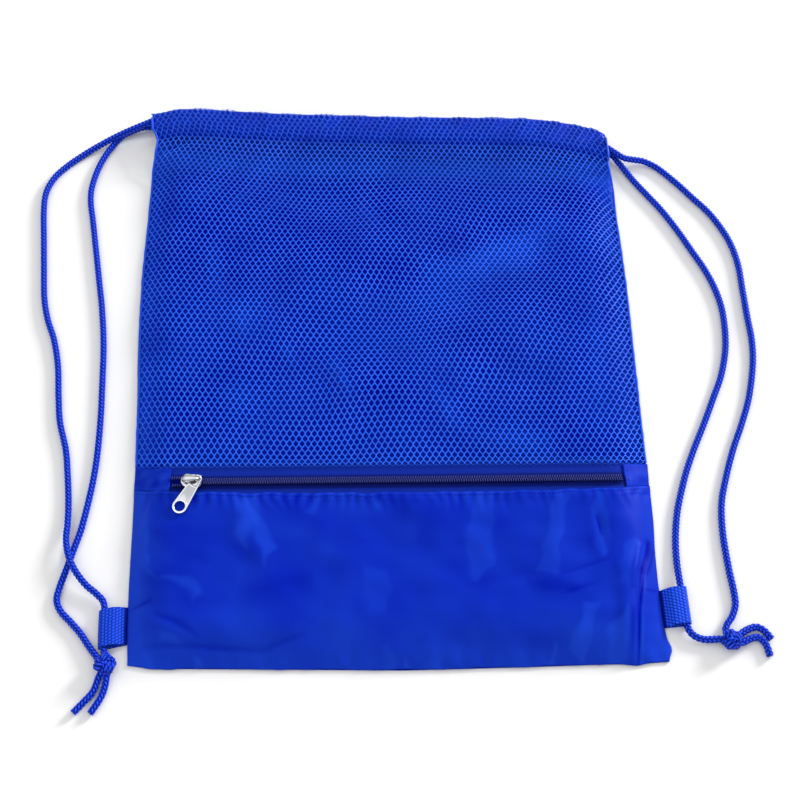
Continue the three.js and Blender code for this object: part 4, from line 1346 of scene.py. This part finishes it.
# Creases: line, spread, height
CREASES = [
    ([(-159, -97), (-159, -113), (-164, -136), (-158, -147), (-148, -157)], 4, 1.2),
    ([(-99, -101), (-93, -130), (-80, -149)], 8, 1.1),
    ([(-172, -199), (-133, -200), (-83, -203), (-55, -194)], 2.6, -0.8),
    ([(-153, -180), (-137, -186), (-124, -194)], 3.0, -0.6),
    ([(-172, -176), (-153, -170)], 2.2, -0.9),
    ([(50, -121), (58, -147)], 7, 0.8),
    ([(107, -99), (98, -151)], 8, 1.1),
    ([(129, -110), (133, -127), (135, -143)], 2.0, -0.6),
    ([(124, -108), (126, -128), (132, -146)], 4, 0.7),
    ([(163, -124), (156, -151), (153, -170), (151, -216)], 1.7, -1.6),
    ([(157, -130), (149, -163)], 2.4, 1.5),
    ([(144, -160), (142, -214)], 3.6, 1.0),
    ([(105, -154), (135, -143)], 2.6, -0.5),
    ([(106, -167), (128, -159)], 2.6, -0.4),
    ([(121, -175), (114, -192), (110, -202)], 3, 0.8),
    ([(39, -161), (93, -153)], 4, -0.45),
    ([(-60, -196), (-10, -190), (60, -193)], 10, -0.8),
    ([(-40, -140), (0, -150), (40, -168)], 12, 0.7),
]
# Painted light on facets between folds: corners, light, softness
FACETS = [
    ([(-103, -102), (-90, -102), (-88, -114), (-95, -136), (-103, -128), (-100, -114)], 0.5, 4),
    ([(-92, -112), (-86, -116), (-75, -135), (-83, -149), (-87, -136)], 0.35, 2),
    ([(-160, -97), (-158, -122), (-159, -139), (-152, -155), (-165, -144), (-166, -131)], 0.35, 2),
    ([(-132, -155), (-125, -160), (-122, -168), (-127, -172), (-130, -165), (-150, -155)], 0.4, 3),
    ([(-164, -205), (-154, -204), (-151, -216), (-164, -214)], 0.65, 2),
    ([(-147, -192), (-136, -193), (-134, -200), (-146, -198)], 0.25, 2.5),
    ([(-124, -207), (-121, -207), (-118, -216), (-123, -216)], 0.4, 1.5),
    ([(-20, -150), (-7, -150), (-2, -165), (-7, -178), (-17, -182), (-21, -163)], 0.2, 4),
    ([(6, -208), (8, -209), (12, -218), (7, -218)], 0.35, 1.5),
    ([(-7, -200), (-3, -197), (1, -216), (-6, -218)], 0.2, 2),
    ([(-57, -109), (-51, -100), (-48, -101), (-52, -112)], 0.25, 2),
    ([(-16, -102), (-8, -102), (-9, -109), (-14, -109)], 0.2, 2),
    ([(50, -99), (63, -99), (62, -148), (52, -159), (48, -159), (44, -136), (48, -117)], 0.26, 2),
    ([(102, -99), (112, -96), (105, -136), (102, -155), (90, -153), (100, -114)], 0.27, 1.6),
    ([(127, -97), (135, -98), (137, -125), (135, -136), (130, -142), (127, -125)], 0.25, 2),
    ([(119, -174), (128, -174), (123, -190), (117, -212), (108, -200)], 0.27, 1.6),
    ([(133, -188), (146, -174), (145, -205), (133, -209)], 0.4, 2.5),
    ([(97, -198), (100, -198), (100, -213), (96, -213)], 0.28, 1.5),
    ([(145, -136), (154, -125), (156, -130), (150, -146), (147, -162), (141, -159)], 0.25, 2),
    ([(18, -209), (28, -208), (29, -217), (18, -217)], 0.2, 3),
    ([(16, -106), (44, -105), (43, -125), (16, -128)], -0.12, 5),
    ([(15, -188), (45, -186), (45, -199), (15, -200)], -0.12, 5),
    ([(83, -157), (111, -159), (124, -162), (110, -167), (83, -162)], -0.12, 3),
    ([(-156, -122), (-136, -120), (-120, -146), (-140, -150)], -0.15, 7),
]
# Painted sheen and crease shade along folds: line, spread, light
PAINTED_FOLD_LIGHT = [
    ([(-172, -176), (-152, -170)], 1.6, -0.5),
    ([(-153, -179), (-137, -186), (-120, -196)], 2.0, -0.25),
    ([(-172, -199), (-133, -200), (-83, -203), (-55, -193)], 2.0, -0.25),
    ([(-98, -163), (-50, -159)], 9, -0.15),
    ([(129, -112), (132, -128)], 1.1, -0.6),
    ([(163, -126), (160, -139), (156, -152)], 1.9, -1.1),
    ([(166, -130), (163, -143), (159, -153)], 1.1, -0.5),
    ([(160, -130), (156.5, -148)], 1.1, 0.6),
    ([(156, -150), (155, -162), (153, -175), (152, -195), (151, -218)], 1.1, -0.8),
    ([(155, -172), (154, -195), (153, -216)], 1.1, 0.45),
    ([(149, -172), (147.5, -195), (147, -214)], 1.8, -0.3),
    ([(156, -163), (168, -161)], 1.1, -0.35),
    ([(103, -155), (137, -142)], 1.4, -0.2),
    ([(104, -168), (130, -158)], 1.5, -0.15),
    ([(36, -162), (95, -152)], 4, -0.1),
    ([(70, -191), (106, -197)], 6, -0.12),
]


def facet(x, y, corners, light, soft):
    """Painted light of a facet between folds: even inside its corners, fading out across its edges."""
    corners = np.asarray(corners, float)
    nearest = np.full(np.shape(x), np.inf)
    inside = np.zeros(np.shape(x), bool)
    for (ax, ay), (bx, by) in zip(corners, np.roll(corners, -1, axis=0)):
        way_x, way_y = bx - ax, by - ay
        share = ((x - ax) * way_x + (y - ay) * way_y) / (way_x**2 + way_y**2)
        share = np.clip(share, 0, 1)
        away = np.hypot(x - ax - share * way_x, y - ay - share * way_y)
        nearest = np.minimum(nearest, away)
        if ay != by:
            inside ^= ((ay > y) != (by > y)) & (x < ax + (y - ay) * way_x / way_y)
    return light * smoothstep(np.where(inside, nearest, -nearest), -soft, soft)


lower_share = np.linspace(0, 1, LOWER_COLUMNS + 1)[None, :]
lower_rows = np.linspace(0, 1, LOWER_ROWS + 1)[:, None]
level = mix(bottom_edge(0.0), zip_line(0.0) - PANEL_BELOW_ZIP, lower_rows)
x = mix(left_seam(level), right_seam(level), lower_share)
from_ends = np.minimum(lower_share, 1 - lower_share)
scallop = waves(x[0], 0 * x[0], SCALLOP_WAVES) * smoothstep(from_ends, 0, SCALLOP_SHARE)
foot = bottom_edge(x) + scallop
along_zip = np.clip((x - ZIP_LEFT) / (ZIP_RIGHT - ZIP_LEFT), 0, 1)
sag = PANEL_SAG * np.sin(np.pi * along_zip) ** PANEL_SAG_POWER
head = zip_line(x) - PANEL_BELOW_ZIP - sag + waves(x, 0 * x, EDGE_WAVES)
y = mix(foot, head, lower_rows)
below_edge = head - y
side = np.minimum(x - left_seam(y), right_seam(y) - x)
above_foot = y - foot
settle = puff(side, SETTLE["side"]) * puff(above_foot, SETTLE["foot"])
pucker = np.sin(2 * np.pi * x / PUCKER_LENGTH + waves(x, y, PUCKER_SHIFT_WAVES))
pucker = pucker * (PUCKER_GAIN + waves(x, 0 * y, PUCKER_GAIN_WAVES))
relief = PUCKER_HEIGHT * pucker * fade(below_edge - PUCKER_MIDDLE, PUCKER_REACH)
relief = relief * smoothstep(below_edge, *PUCKER_START)
relief = relief + waves(x, y, PANEL_WAVES) + sum(ridge(x, y, *crease) for crease in CREASES)
relief = relief * smoothstep(below_edge, *RELIEF_START)
notch = waves(x, 0 * y, FOOT_WAVES) * fade(above_foot, FOOT_WAVE_REACH)
notch = notch * puff(above_foot, FOOT_WAVE_START)
lower_z = front_height(x, y) + relief * settle + notch
lower_grid = np.stack([x, y, lower_z], -1)
past_hem = smoothstep(below_edge, HEM_DEPTH, HEM_DEPTH + HEM_STEP)
lower_thickness = mix(HEM_THICKNESS, TAFFETA_THICKNESS, past_hem)
# Painted light of the cloth, on its facets and folds, along its puckered edge and beside the seams
warp_x = x + waves(x, y, FACET_WARP["x"])
warp_y = y + waves(x, y, FACET_WARP["y"])
panel_light = PANEL_LIGHT + sum(ridge(x, y, *line) for line in PAINTED_FOLD_LIGHT)
panel_light = panel_light + sum(facet(warp_x, warp_y, *patch) for patch in FACETS)
panel_light = panel_light + waves(x, y, PANEL_LIGHT_WAVES)
panel_light = panel_light + PUCKER_LIGHT * pucker * fade(below_edge, PUCKER_LIGHT_REACH)
panel_light = panel_light + EDGE_LIGHT * fade(below_edge, EDGE_LIGHT_REACH)
panel_light = panel_light + BOTTOM_LIGHT * (1 - smoothstep(above_foot, *BOTTOM_LIGHT_REACH))
from_seam = {"left": x - left_seam(y), "right": right_seam(y) - x}
for name, gain in SIDE_LIGHT.items():
    panel_light = panel_light + gain * fade(from_seam[name], SIDE_LIGHT_REACH)
panel_light = panel_light.ravel()
lower_points, lower_faces = closed_sheet(lower_grid, lower_thickness)
# The topstitching along the turned edge
stitch_row = np.argmin(np.abs(below_edge[:, 0] - STITCH_BELOW_EDGE))
up = np.zeros((LOWER_COLUMNS + 1, 3)) + (0, 0, 1)
seam_line = lower_grid[stitch_row] + up * HEM_THICKNESS / 2
lower_stitches = stitches(seam_line, up, FIRST_STITCH)
lower_points, lower_faces = joined([(lower_points, [lower_faces]), lower_stitches])
thread_light = np.full(len(lower_points) - 2 * panel_light.size, PANEL_LIGHT)
lower_front = add_piece(
    "lower_front",
    lower_points,
    lower_faces,
    taffeta,
    "polyester",
    ["lower_panel"],
    values={"light": np.concatenate([panel_light, panel_light, thread_light])},
)

# Zip end patches: short pieces of the taffeta across both ends of the zip, turned in along the
# edge that faces the coils and stitched down through the tapes.
PATCH_ROWS = 16
PATCH_COLUMNS = 22
PATCH_GAP = 0.3
PATCH_SLANT = {"left": 0.4, "right": -2.0}
PATCH_SLANT_REACH = 12.0
PATCH_HEM_STEP = 1.0
PATCH_WAVES = [(31, 12, 0.25)]
PATCH_WAVE_START = 3.0
PATCH_STITCH_COLUMN = 3
PATCH_FIRST_STITCH = 1.6
PATCH_LIGHT = PANEL_LIGHT + 0.12
PATCH_LIGHT_WAVES = [(32, 9, 0.15)]

patch_level = zip_line(0.0) + (NET_ABOVE_ZIP - PANEL_BELOW_ZIP) / 2
patch_ends = {
    "left": (float(left_seam(patch_level)), ZIP_LEFT),
    "right": (ZIP_RIGHT, float(right_seam(patch_level))),
}
for name, (start, end) in patch_ends.items():
    x = mix(start, end, np.linspace(0, 1, PATCH_COLUMNS + 1)[None, :])
    rows = np.linspace(0, 1, PATCH_ROWS + 1)[:, None]
    y = zip_line(x) + mix(PATCH_GAP - PANEL_BELOW_ZIP, NET_ABOVE_ZIP - PATCH_GAP, rows)
    from_zip = end - x + 0 * y if name == "left" else x - start + 0 * y
    x = x + PATCH_SLANT[name] * (rows - 0.5) * smoothstep(-from_zip, -PATCH_SLANT_REACH, 0)
    past_hem = smoothstep(from_zip, HEM_DEPTH, HEM_DEPTH + PATCH_HEM_STEP)
    turned = mix(HEM_THICKNESS, TAFFETA_THICKNESS, past_hem)
    z = front_height(x, y) + waves(x, y, PATCH_WAVES) * smoothstep(from_zip, 0, PATCH_WAVE_START)
    patch_grid = np.stack([x, y, z], -1)
    patch_points, patch_faces = closed_sheet(patch_grid, turned)
    column = PATCH_COLUMNS - PATCH_STITCH_COLUMN if name == "left" else PATCH_STITCH_COLUMN
    line = patch_grid[:, column] + (0, 0, HEM_THICKNESS / 2)
    up = np.zeros((PATCH_ROWS + 1, 3)) + (0, 0, 1)
    patch_stitches = stitches(line, up, PATCH_FIRST_STITCH)
    patch_points, patch_faces = joined([(patch_points, [patch_faces]), patch_stitches])
    # Painted light of the patches
    patch_light = PATCH_LIGHT + waves(patch_points[:, 0], patch_points[:, 1], PATCH_LIGHT_WAVES)
    patch = add_piece(
        "zip_patch_" + name,
        patch_points,
        patch_faces,
        taffeta,
        "polyester",
        ["zip_end_" + name],
        values={"light": patch_light},
    )

# Side loops: short lengths of 25 mm polypropylene webbing, folded round the cords and caught in the
# side seams near the bottom. They are woven with ribs across and twisted yarns.
WEBBING_WIDTH = 24.8
WEBBING_THICKNESS = 1.2
LOOPS = {
    "left": {"y": -184.6, "side": -1, "reach": 13.0, "slant": -0.22, "light": 0.92},
    "right": {"y": -173.1, "side": 1, "reach": 12.8, "slant": 0.1, "light": 1.2},
}
LOOP_CLEARANCE = 1.15
LOOP_TUCK = -1.0
LOOP_BEND = 3.1
LOOP_BEND_STEPS = 13
LOOP_STEP = 0.38
WEBBING_COLUMNS = 81
# The upper layer near the seam: distance out, height
LOOP_RISE = [(LOOP_TUCK, 1.3), (0, 2), (3, 4.2), (7, 6.6)]
RIB_PITCH = 2.1
YARN_PITCH = 2.1
RIB_HEIGHT = 0.4
YARN_ROUNDNESS = 0.7
YARN_OFFSET = 0.5
YARN_TWIST = 0.3
YARN_GAP_LIGHT = 0.1
SEAM_SHADE = 1.8
WEBBING_BRIGHT = "2656ee"
WEBBING_SHADED = "000862"

# Polypropylene webbing, woven of thick twisted yarns: painted light along each yarn, with painted
# shade between them and beside the seam. The yarns, about 1.5 mm apart, are drawn a little
# coarser, at 2.1 mm, so that they show.
webbing, nodes = new_material("woven_polypropylene_webbing")
yarn_height = add_node(nodes, "Attribute", {}, attribute_name="yarn")
webbing_shade = add_node(
    nodes,
    "Mix",
    {0: yarn_height.outputs["Fac"], 6: linear(WEBBING_SHADED), 7: linear(WEBBING_BRIGHT)},
    data_type="RGBA",
)
webbing_shader = add_node(
    nodes,
    "BsdfPrincipled",
    {
        "Base Color": webbing_shade.outputs[2],
        "Roughness": 0.55,
        "Specular IOR Level": 0.2,
        "Specular Tint": linear(WEBBING_BRIGHT),
    },
)
add_node(nodes, "OutputMaterial", {"Surface": webbing_shader.outputs["BSDF"]})

for name, loop in LOOPS.items():
    turn = np.linspace(0, np.pi, LOOP_BEND_STEPS)
    bend = np.column_stack(
        [
            loop["reach"] + LOOP_BEND * np.sin(turn),
            WEBBING_THICKNESS / 2 + LOOP_BEND * (1 + np.cos(turn)),
        ]
    )
    profile = np.concatenate([LOOP_RISE, bend, [(LOOP_TUCK, WEBBING_THICKNESS / 2)]])
    profile = smooth_route(np.column_stack([profile, np.zeros(len(profile))]), LOOP_STEP)
    seam = left_seam if loop["side"] < 0 else right_seam
    across = np.linspace(-0.5, 0.5, WEBBING_COLUMNS)[None, :] * WEBBING_WIDTH * loop["side"]
    out, height = profile[:, :1], profile[:, 1:2]
    seam_y = loop["y"] + across
    x = seam(seam_y) + loop["side"] * (LOOP_CLEARANCE + out)
    grid = np.stack([x, seam_y + loop["slant"] * out, height + 0 * x], -1)
    run = np.arange(len(profile))[:, None] * line_length(profile) / (len(profile) - 1)
    rib = np.abs(np.sin(np.pi * run / RIB_PITCH)) ** YARN_ROUNDNESS
    rib_number, rib_share = np.divmod(run / RIB_PITCH, 1)
    twist = across / YARN_PITCH + YARN_OFFSET * rib_number + YARN_TWIST * rib_share
    # Painted light on the yarns, painted shade in the gaps and next to the seam, and a light level for
    # each loop
    yarn = rib * mix(YARN_GAP_LIGHT, 1, np.abs(np.sin(np.pi * twist))) * smoothstep(out, 0, SEAM_SHADE)
    thickness = WEBBING_THICKNESS - 2 * RIB_HEIGHT * (1 - yarn)
    loop_points, loop_faces = closed_sheet(grid, thickness)
    tab = add_piece(
        "loop_" + name,
        loop_points,
        loop_faces,
        webbing,
        "webbing",
        ["tab_" + name],
        values={"yarn": loop["light"] * np.concatenate([yarn.ravel(), yarn.ravel()])},
    )

# Cords: two polyester braids 4.2 mm thick. Each runs through the casing and back, leaves it at one
# side as two strands, passes its side loop and is knotted there, with two short free ends.
BRAID_SIDES = 32
BRAID_STEP = 0.44
CARRIERS = 6
BRAID_LEAD = 16.2
BRAID_GAP = (0.25, 0.95)
BRAID_CREST = 2.42
BRAID_DEPTH = 0.65
BRAID_END_LIGHT = 0.3
LIE = 2.2
CORD_INSETS = {"left": 5.4, "right": 10.9}
CASING_EXIT = {"left": 1.5, "right": 5.0}
CASING_EXIT_GAP = 0.5
CASING_CORD_RISE = 2.55
CASING_TURN_INSET = 12.0
CASING_TURN_SHARES = (0.25, 0.5, 0.75)
CASING_RUN_STOPS = 16
CASING_RUN_STEP = 1.0
CASING_RUN_SIDES = 16
KNOTS = {
    "left": {"middle": (-180, -211.5, 5.5), "half": (7, 7.4, 5.4)},
    "right": {"middle": (210, -195, 5.5), "half": (6.4, 6.8, 5.4)},
}
KNOT_TURN = {"left": 20, "right": 75}
KNOT_CLEARANCE = 0.7
KNOT_DIVE = 4.0
KNOT_INSET = 2.5
KNOT_PAIR = (-1.5, 1.5)
KNOT_START = 0.25
KNOT_SWEEP = 1.985 * np.pi
KNOT_STEPS = 200
# Routes of the strands from the casing to the knots: x, y, z
STRANDS = {
    "left_outer": [
        (-186, 198.7, 10.4), (-199, 194.5, 6.8), (-212.5, 187.5, 4.4), (-225, 179.3, 2.8),
        (-236.5, 169.5, LIE), (-245, 159, LIE), (-249.8, 146.5, LIE), (-250.2, 131, LIE),
        (-247.8, 105.5, LIE), (-245.4, 80.5, LIE), (-243, 57.5, LIE), (-239, 40, LIE),
        (-233.2, 23.8, LIE), (-228.7, 3.4, LIE), (-226.3, -19, LIE), (-223.5, -39.5, LIE),
        (-217.8, -60.5, LIE), (-214.8, -80, LIE), (-212.6, -99, 2.5), (-211.6, -114.5, 3.8),
        (-211.2, -127, 5.8), (-208.2, -139.5, 6.9), (-203, -149.5, 6.3), (-196, -158, 4.9),
        (-189, -163.8, 4), (-183.8, -170.5, 3.7), (-182.4, -186.5, 3.7), (-181.7, -200, 3.8),
    ],
    "left_inner": [
        (-184, 203, 3.3), (-192.5, 199.9, 2.8), (-199.2, 195.6, 2.4), (-204.8, 188, LIE),
        (-210, 178.5, LIE), (-214.6, 166, LIE), (-217.6, 150.5, LIE), (-217.4, 138, LIE),
        (-214.4, 121, LIE), (-210.4, 97, LIE), (-206.3, 72.5, LIE), (-202.3, 48, LIE),
        (-199.1, 20, LIE), (-197.7, -7.5, LIE), (-196.6, -38, LIE), (-196.8, -66.5, LIE),
        (-198.2, -86, LIE), (-200.6, -104.5, LIE), (-203, -119, LIE), (-206.3, -132, LIE),
        (-210, -146.5, LIE), (-213, -158, LIE), (-214.2, -167, LIE), (-211, -174.8, LIE),
        (-204.5, -181.7, LIE), (-197.5, -189.5, LIE), (-190.7, -199.2, 2.8),
    ],
    "right_outer": [
        (158, 176.2, 9), (164.5, 173.6, 6.2), (172.5, 173.4, 4.2), (179, 172.8, 3),
        (187.6, 168.3, LIE), (195.5, 160.6, LIE), (203.6, 151.6, LIE), (211.5, 141.9, LIE),
        (221.3, 130.2, LIE), (229, 117.5, LIE), (235.3, 103, LIE), (239.2, 85.5, LIE),
        (240.6, 63.5, LIE), (241.9, 42, LIE), (243.2, 24, LIE), (242.2, 5, LIE),
        (237.3, -20.5, LIE), (230, -42.5, LIE), (223.2, -60, LIE), (216.2, -82.5, LIE),
        (212, -101, LIE), (211.2, -122, LIE), (212.8, -145, LIE), (214.6, -160, LIE),
        (214.9, -170, LIE), (212.2, -178.2, 2.5), (208.4, -184, 3.2),
    ],
    "right_inner": [
        (156.4, 177.8, 3.3), (160, 173, 2.8), (164.8, 165.8, 2.4), (170.5, 156.6, LIE),
        (179.5, 144, LIE), (188.8, 131, LIE), (198.8, 114, LIE), (207.4, 97.2, LIE),
        (215.8, 80.5, LIE), (222, 63.3, LIE), (225.3, 44.5, LIE), (225, 20, LIE),
        (220.3, -2.8, LIE), (213, -22, LIE), (205.4, -41, LIE), (197.7, -59, LIE),
        (191.2, -76, LIE), (185.8, -94, LIE), (182.5, -108, LIE), (180.3, -125.5, LIE),
        (179.9, -142, 2.9), (180.7, -156, 3.7), (182, -171, 3.7), (182.9, -183.8, 3.7),
        (186, -190.6, 3.4), (193, -193.9, 3),
    ],
}
# Each strand's half of the casing, and its plan angle and height at the knot
STRAND_ENDS = {
    "left_outer": {"half": "front", "angle": 95, "height": 4.2},
    "left_inner": {"half": "back", "angle": 136, "height": 3.6},
    "right_outer": {"half": "front", "angle": 116, "height": 3.8},
    "right_inner": {"half": "back", "angle": 172, "height": 3.8},
}
# Free ends: plan angle at which each leaves its knot, route
TAILS = {
    "left_a": (245, [(-186.2, -227.6, LIE), (-191, -234, LIE), (-197.5, -241.6, LIE)]),
    "left_b": (282, [(-179.8, -227.2, LIE), (-182.3, -233.8, LIE), (-187, -242, LIE)]),
    "right_a": (
        35,
        [(221.2, -187.2, 2.9), (226.8, -185.4, LIE), (231.6, -188, LIE), (235.5, -193.4, LIE)],
    ),
    "right_b": (
        350,
        [(222.2, -193.4, 2.9), (227.4, -192.4, LIE), (231.4, -196.4, LIE), (233.7, -204.5, LIE)],
    ),
}
TAIL_HEIGHT = 3.6
BRAID_BRIGHT = "2c53ee"
BRAID_SHADED = "000b72"


def braided(path, sides=BRAID_SIDES):
    """Points, faces and painted yarn light of a braid: each yarn passes over two others, under two."""
    rings = len(path)
    run = np.arange(rings)[:, None] * line_length(path) / (rings - 1)
    turn = np.arange(sides)[None, :] / sides
    left, right = CARRIERS * (turn + run / BRAID_LEAD), CARRIERS * (turn - run / BRAID_LEAD)
    place = (np.floor(left) + np.floor(right)) % 4
    across = np.where(place < 2, left % 1, right % 1)
    along = np.where(place < 2, (np.floor(left) + right) % 4, (left + np.floor(right)) % 4 - 2) / 2
    yarn = np.sin(np.pi * across) * np.sin(np.pi * np.clip(along, 0, 1)) ** YARN_ROUNDNESS
    points, faces = tube(path, BRAID_CREST - BRAID_DEPTH * (1 - yarn))
    light = np.concatenate([smoothstep(yarn, *BRAID_GAP).ravel(), [BRAID_END_LIGHT] * 2])
    return points, faces, light


def casing_cord(x, cord, half):
    """Middle of a cord in the front or back half of the casing."""
    floor = FRONT_HEM_MIDDLE - casing_droop(x) if half == "front" else BACK_MIDDLE + 0 * x
    return np.stack([x, top_edge(x) - CORD_INSETS[cord], floor + CASING_CORD_RISE], -1)


def casing_exit(cord, half):
    """Where a cord leaves the casing, a little inside its open end."""
    level = top_edge(0.0) - CORD_INSETS[cord]
    if cord == "left":
        return casing_cord(left_seam(level) + CASING_EXIT[cord], cord, half)
    return casing_cord(right_seam(level) - CASING_EXIT[cord], cord, half)


def knot_port(knot, angle, height, clearance):
    """Where a cord meets a knot: a point just off its side, at a plan angle and a height."""
    (mx, my, mz), (rx, ry, rz) = KNOTS[knot]["middle"], KNOTS[knot]["half"]
    girth = math.sqrt(1 - ((height - mz) / rz) ** 2)
    turn = math.radians(angle)
    out_x = (rx * girth + clearance) * math.cos(turn)
    out_y = (ry * girth + clearance) * math.sin(turn)
    return np.array((mx + out_x, my + out_y, height))


# Polyester braid: soft round yarns in chevrons, with painted light along each yarn and painted
# shade in the gaps between. The yarns, about 2.2 mm apart along the cord, are drawn at 2.7 mm so
# that they show.
braid, nodes = new_material("braided_polyester_cord")
cord_yarn = add_node(nodes, "Attribute", {}, attribute_name="yarn")
cord_shade = add_node(
    nodes,
    "Mix",
    {0: cord_yarn.outputs["Fac"], 6: linear(BRAID_SHADED), 7: linear(BRAID_BRIGHT)},
    data_type="RGBA",
)
braid_shader = add_node(
    nodes,
    "BsdfPrincipled",
    {
        "Base Color": cord_shade.outputs[2],
        "Roughness": 0.5,
        "Specular IOR Level": 0.25,
        "Specular Tint": linear(BRAID_BRIGHT),
    },
)
add_node(nodes, "OutputMaterial", {"Surface": braid_shader.outputs["BSDF"]})


def add_cord_piece(name, path, node, sides=BRAID_SIDES):
    """A length of braid along a path, which stands for one CAD node."""
    points, faces, yarn = braided(path, sides)
    return add_piece(name, points, faces, braid, "braid", [node], values={"yarn": yarn})


for cord in ("left", "right"):
    level = top_edge(0.0) - CORD_INSETS[cord]
    start = casing_exit(cord, "front")[0]
    if cord == "left":
        end = right_seam(level) - CASING_TURN_INSET
    else:
        end = left_seam(level) + CASING_TURN_INSET
    stops = np.linspace(start, end, CASING_RUN_STOPS)
    there, home = casing_cord(stops, cord, "front"), casing_cord(stops[::-1], cord, "back")
    bend_radius = np.linalg.norm(there[-1] - home[0]) / 2 * np.sign(end - start)
    bend = [
        mix(there[-1], home[0], (1 - math.cos(math.pi * s)) / 2)
        + (bend_radius * math.sin(math.pi * s), 0, 0)
        for s in CASING_TURN_SHARES
    ]
    run = smooth_route(np.concatenate([there, bend, home]), CASING_RUN_STEP)
    add_cord_piece("casing_run_" + cord, run, f"cord_{cord}_casing", CASING_RUN_SIDES)

for cord, knot in KNOTS.items():
    # A trefoil, which is the path of an overhand knot
    t = np.linspace(KNOT_START, KNOT_START + KNOT_SWEEP, KNOT_STEPS)
    wraps = np.column_stack(
        [np.sin(t) + 2 * np.sin(2 * t), np.cos(t) - 2 * np.cos(2 * t), -np.sin(3 * t)]
    )
    swing = math.radians(KNOT_TURN[cord])
    wraps[:, :2] = wraps[:, :2] @ np.array(
        [(math.cos(swing), math.sin(swing)), (-math.sin(swing), math.cos(swing))]
    )
    wraps = wraps / np.abs(wraps).max(axis=0) * (np.array(knot["half"]) - KNOT_INSET)
    wraps = smooth_route(wraps, BRAID_STEP)
    way = np.gradient(wraps, axis=0)
    beside = np.cross(way, wraps / np.array(knot["half"]) ** 2)
    beside /= np.linalg.norm(beside, axis=1, keepdims=True)
    pair = [braided(wraps + beside * shift + knot["middle"]) for shift in KNOT_PAIR]
    knot_points, knot_faces = joined([part[:2] for part in pair])
    add_piece(
        "knot_wraps_" + cord,
        knot_points,
        knot_faces,
        braid,
        "braid",
        ["knot_" + cord],
        values={"yarn": np.concatenate([part[2] for part in pair])},
    )

for name, (angle, route) in TAILS.items():
    cord, letter = name.split("_")
    port = knot_port(cord, angle, TAIL_HEIGHT, KNOT_CLEARANCE)
    dive = knot_port(cord, angle, TAIL_HEIGHT, -KNOT_DIVE)
    path = smooth_route([dive, port, *route], BRAID_STEP)
    add_cord_piece("cord_end_" + name, path, f"cord_{cord}_tail_{letter}")

for name, route in STRANDS.items():
    cord, place = name.split("_")
    finish = STRAND_ENDS[name]
    leave = casing_exit(cord, finish["half"])
    leave = leave + (CASING_EXIT_GAP * (-1 if cord == "left" else 1), 0, 0)
    port = knot_port(cord, finish["angle"], finish["height"], KNOT_CLEARANCE)
    dive = knot_port(cord, finish["angle"], finish["height"], -KNOT_DIVE)
    path = smooth_route([leave, *route, port, dive], BRAID_STEP)
    strand = add_cord_piece("strand_" + name, path, "cord_" + name)
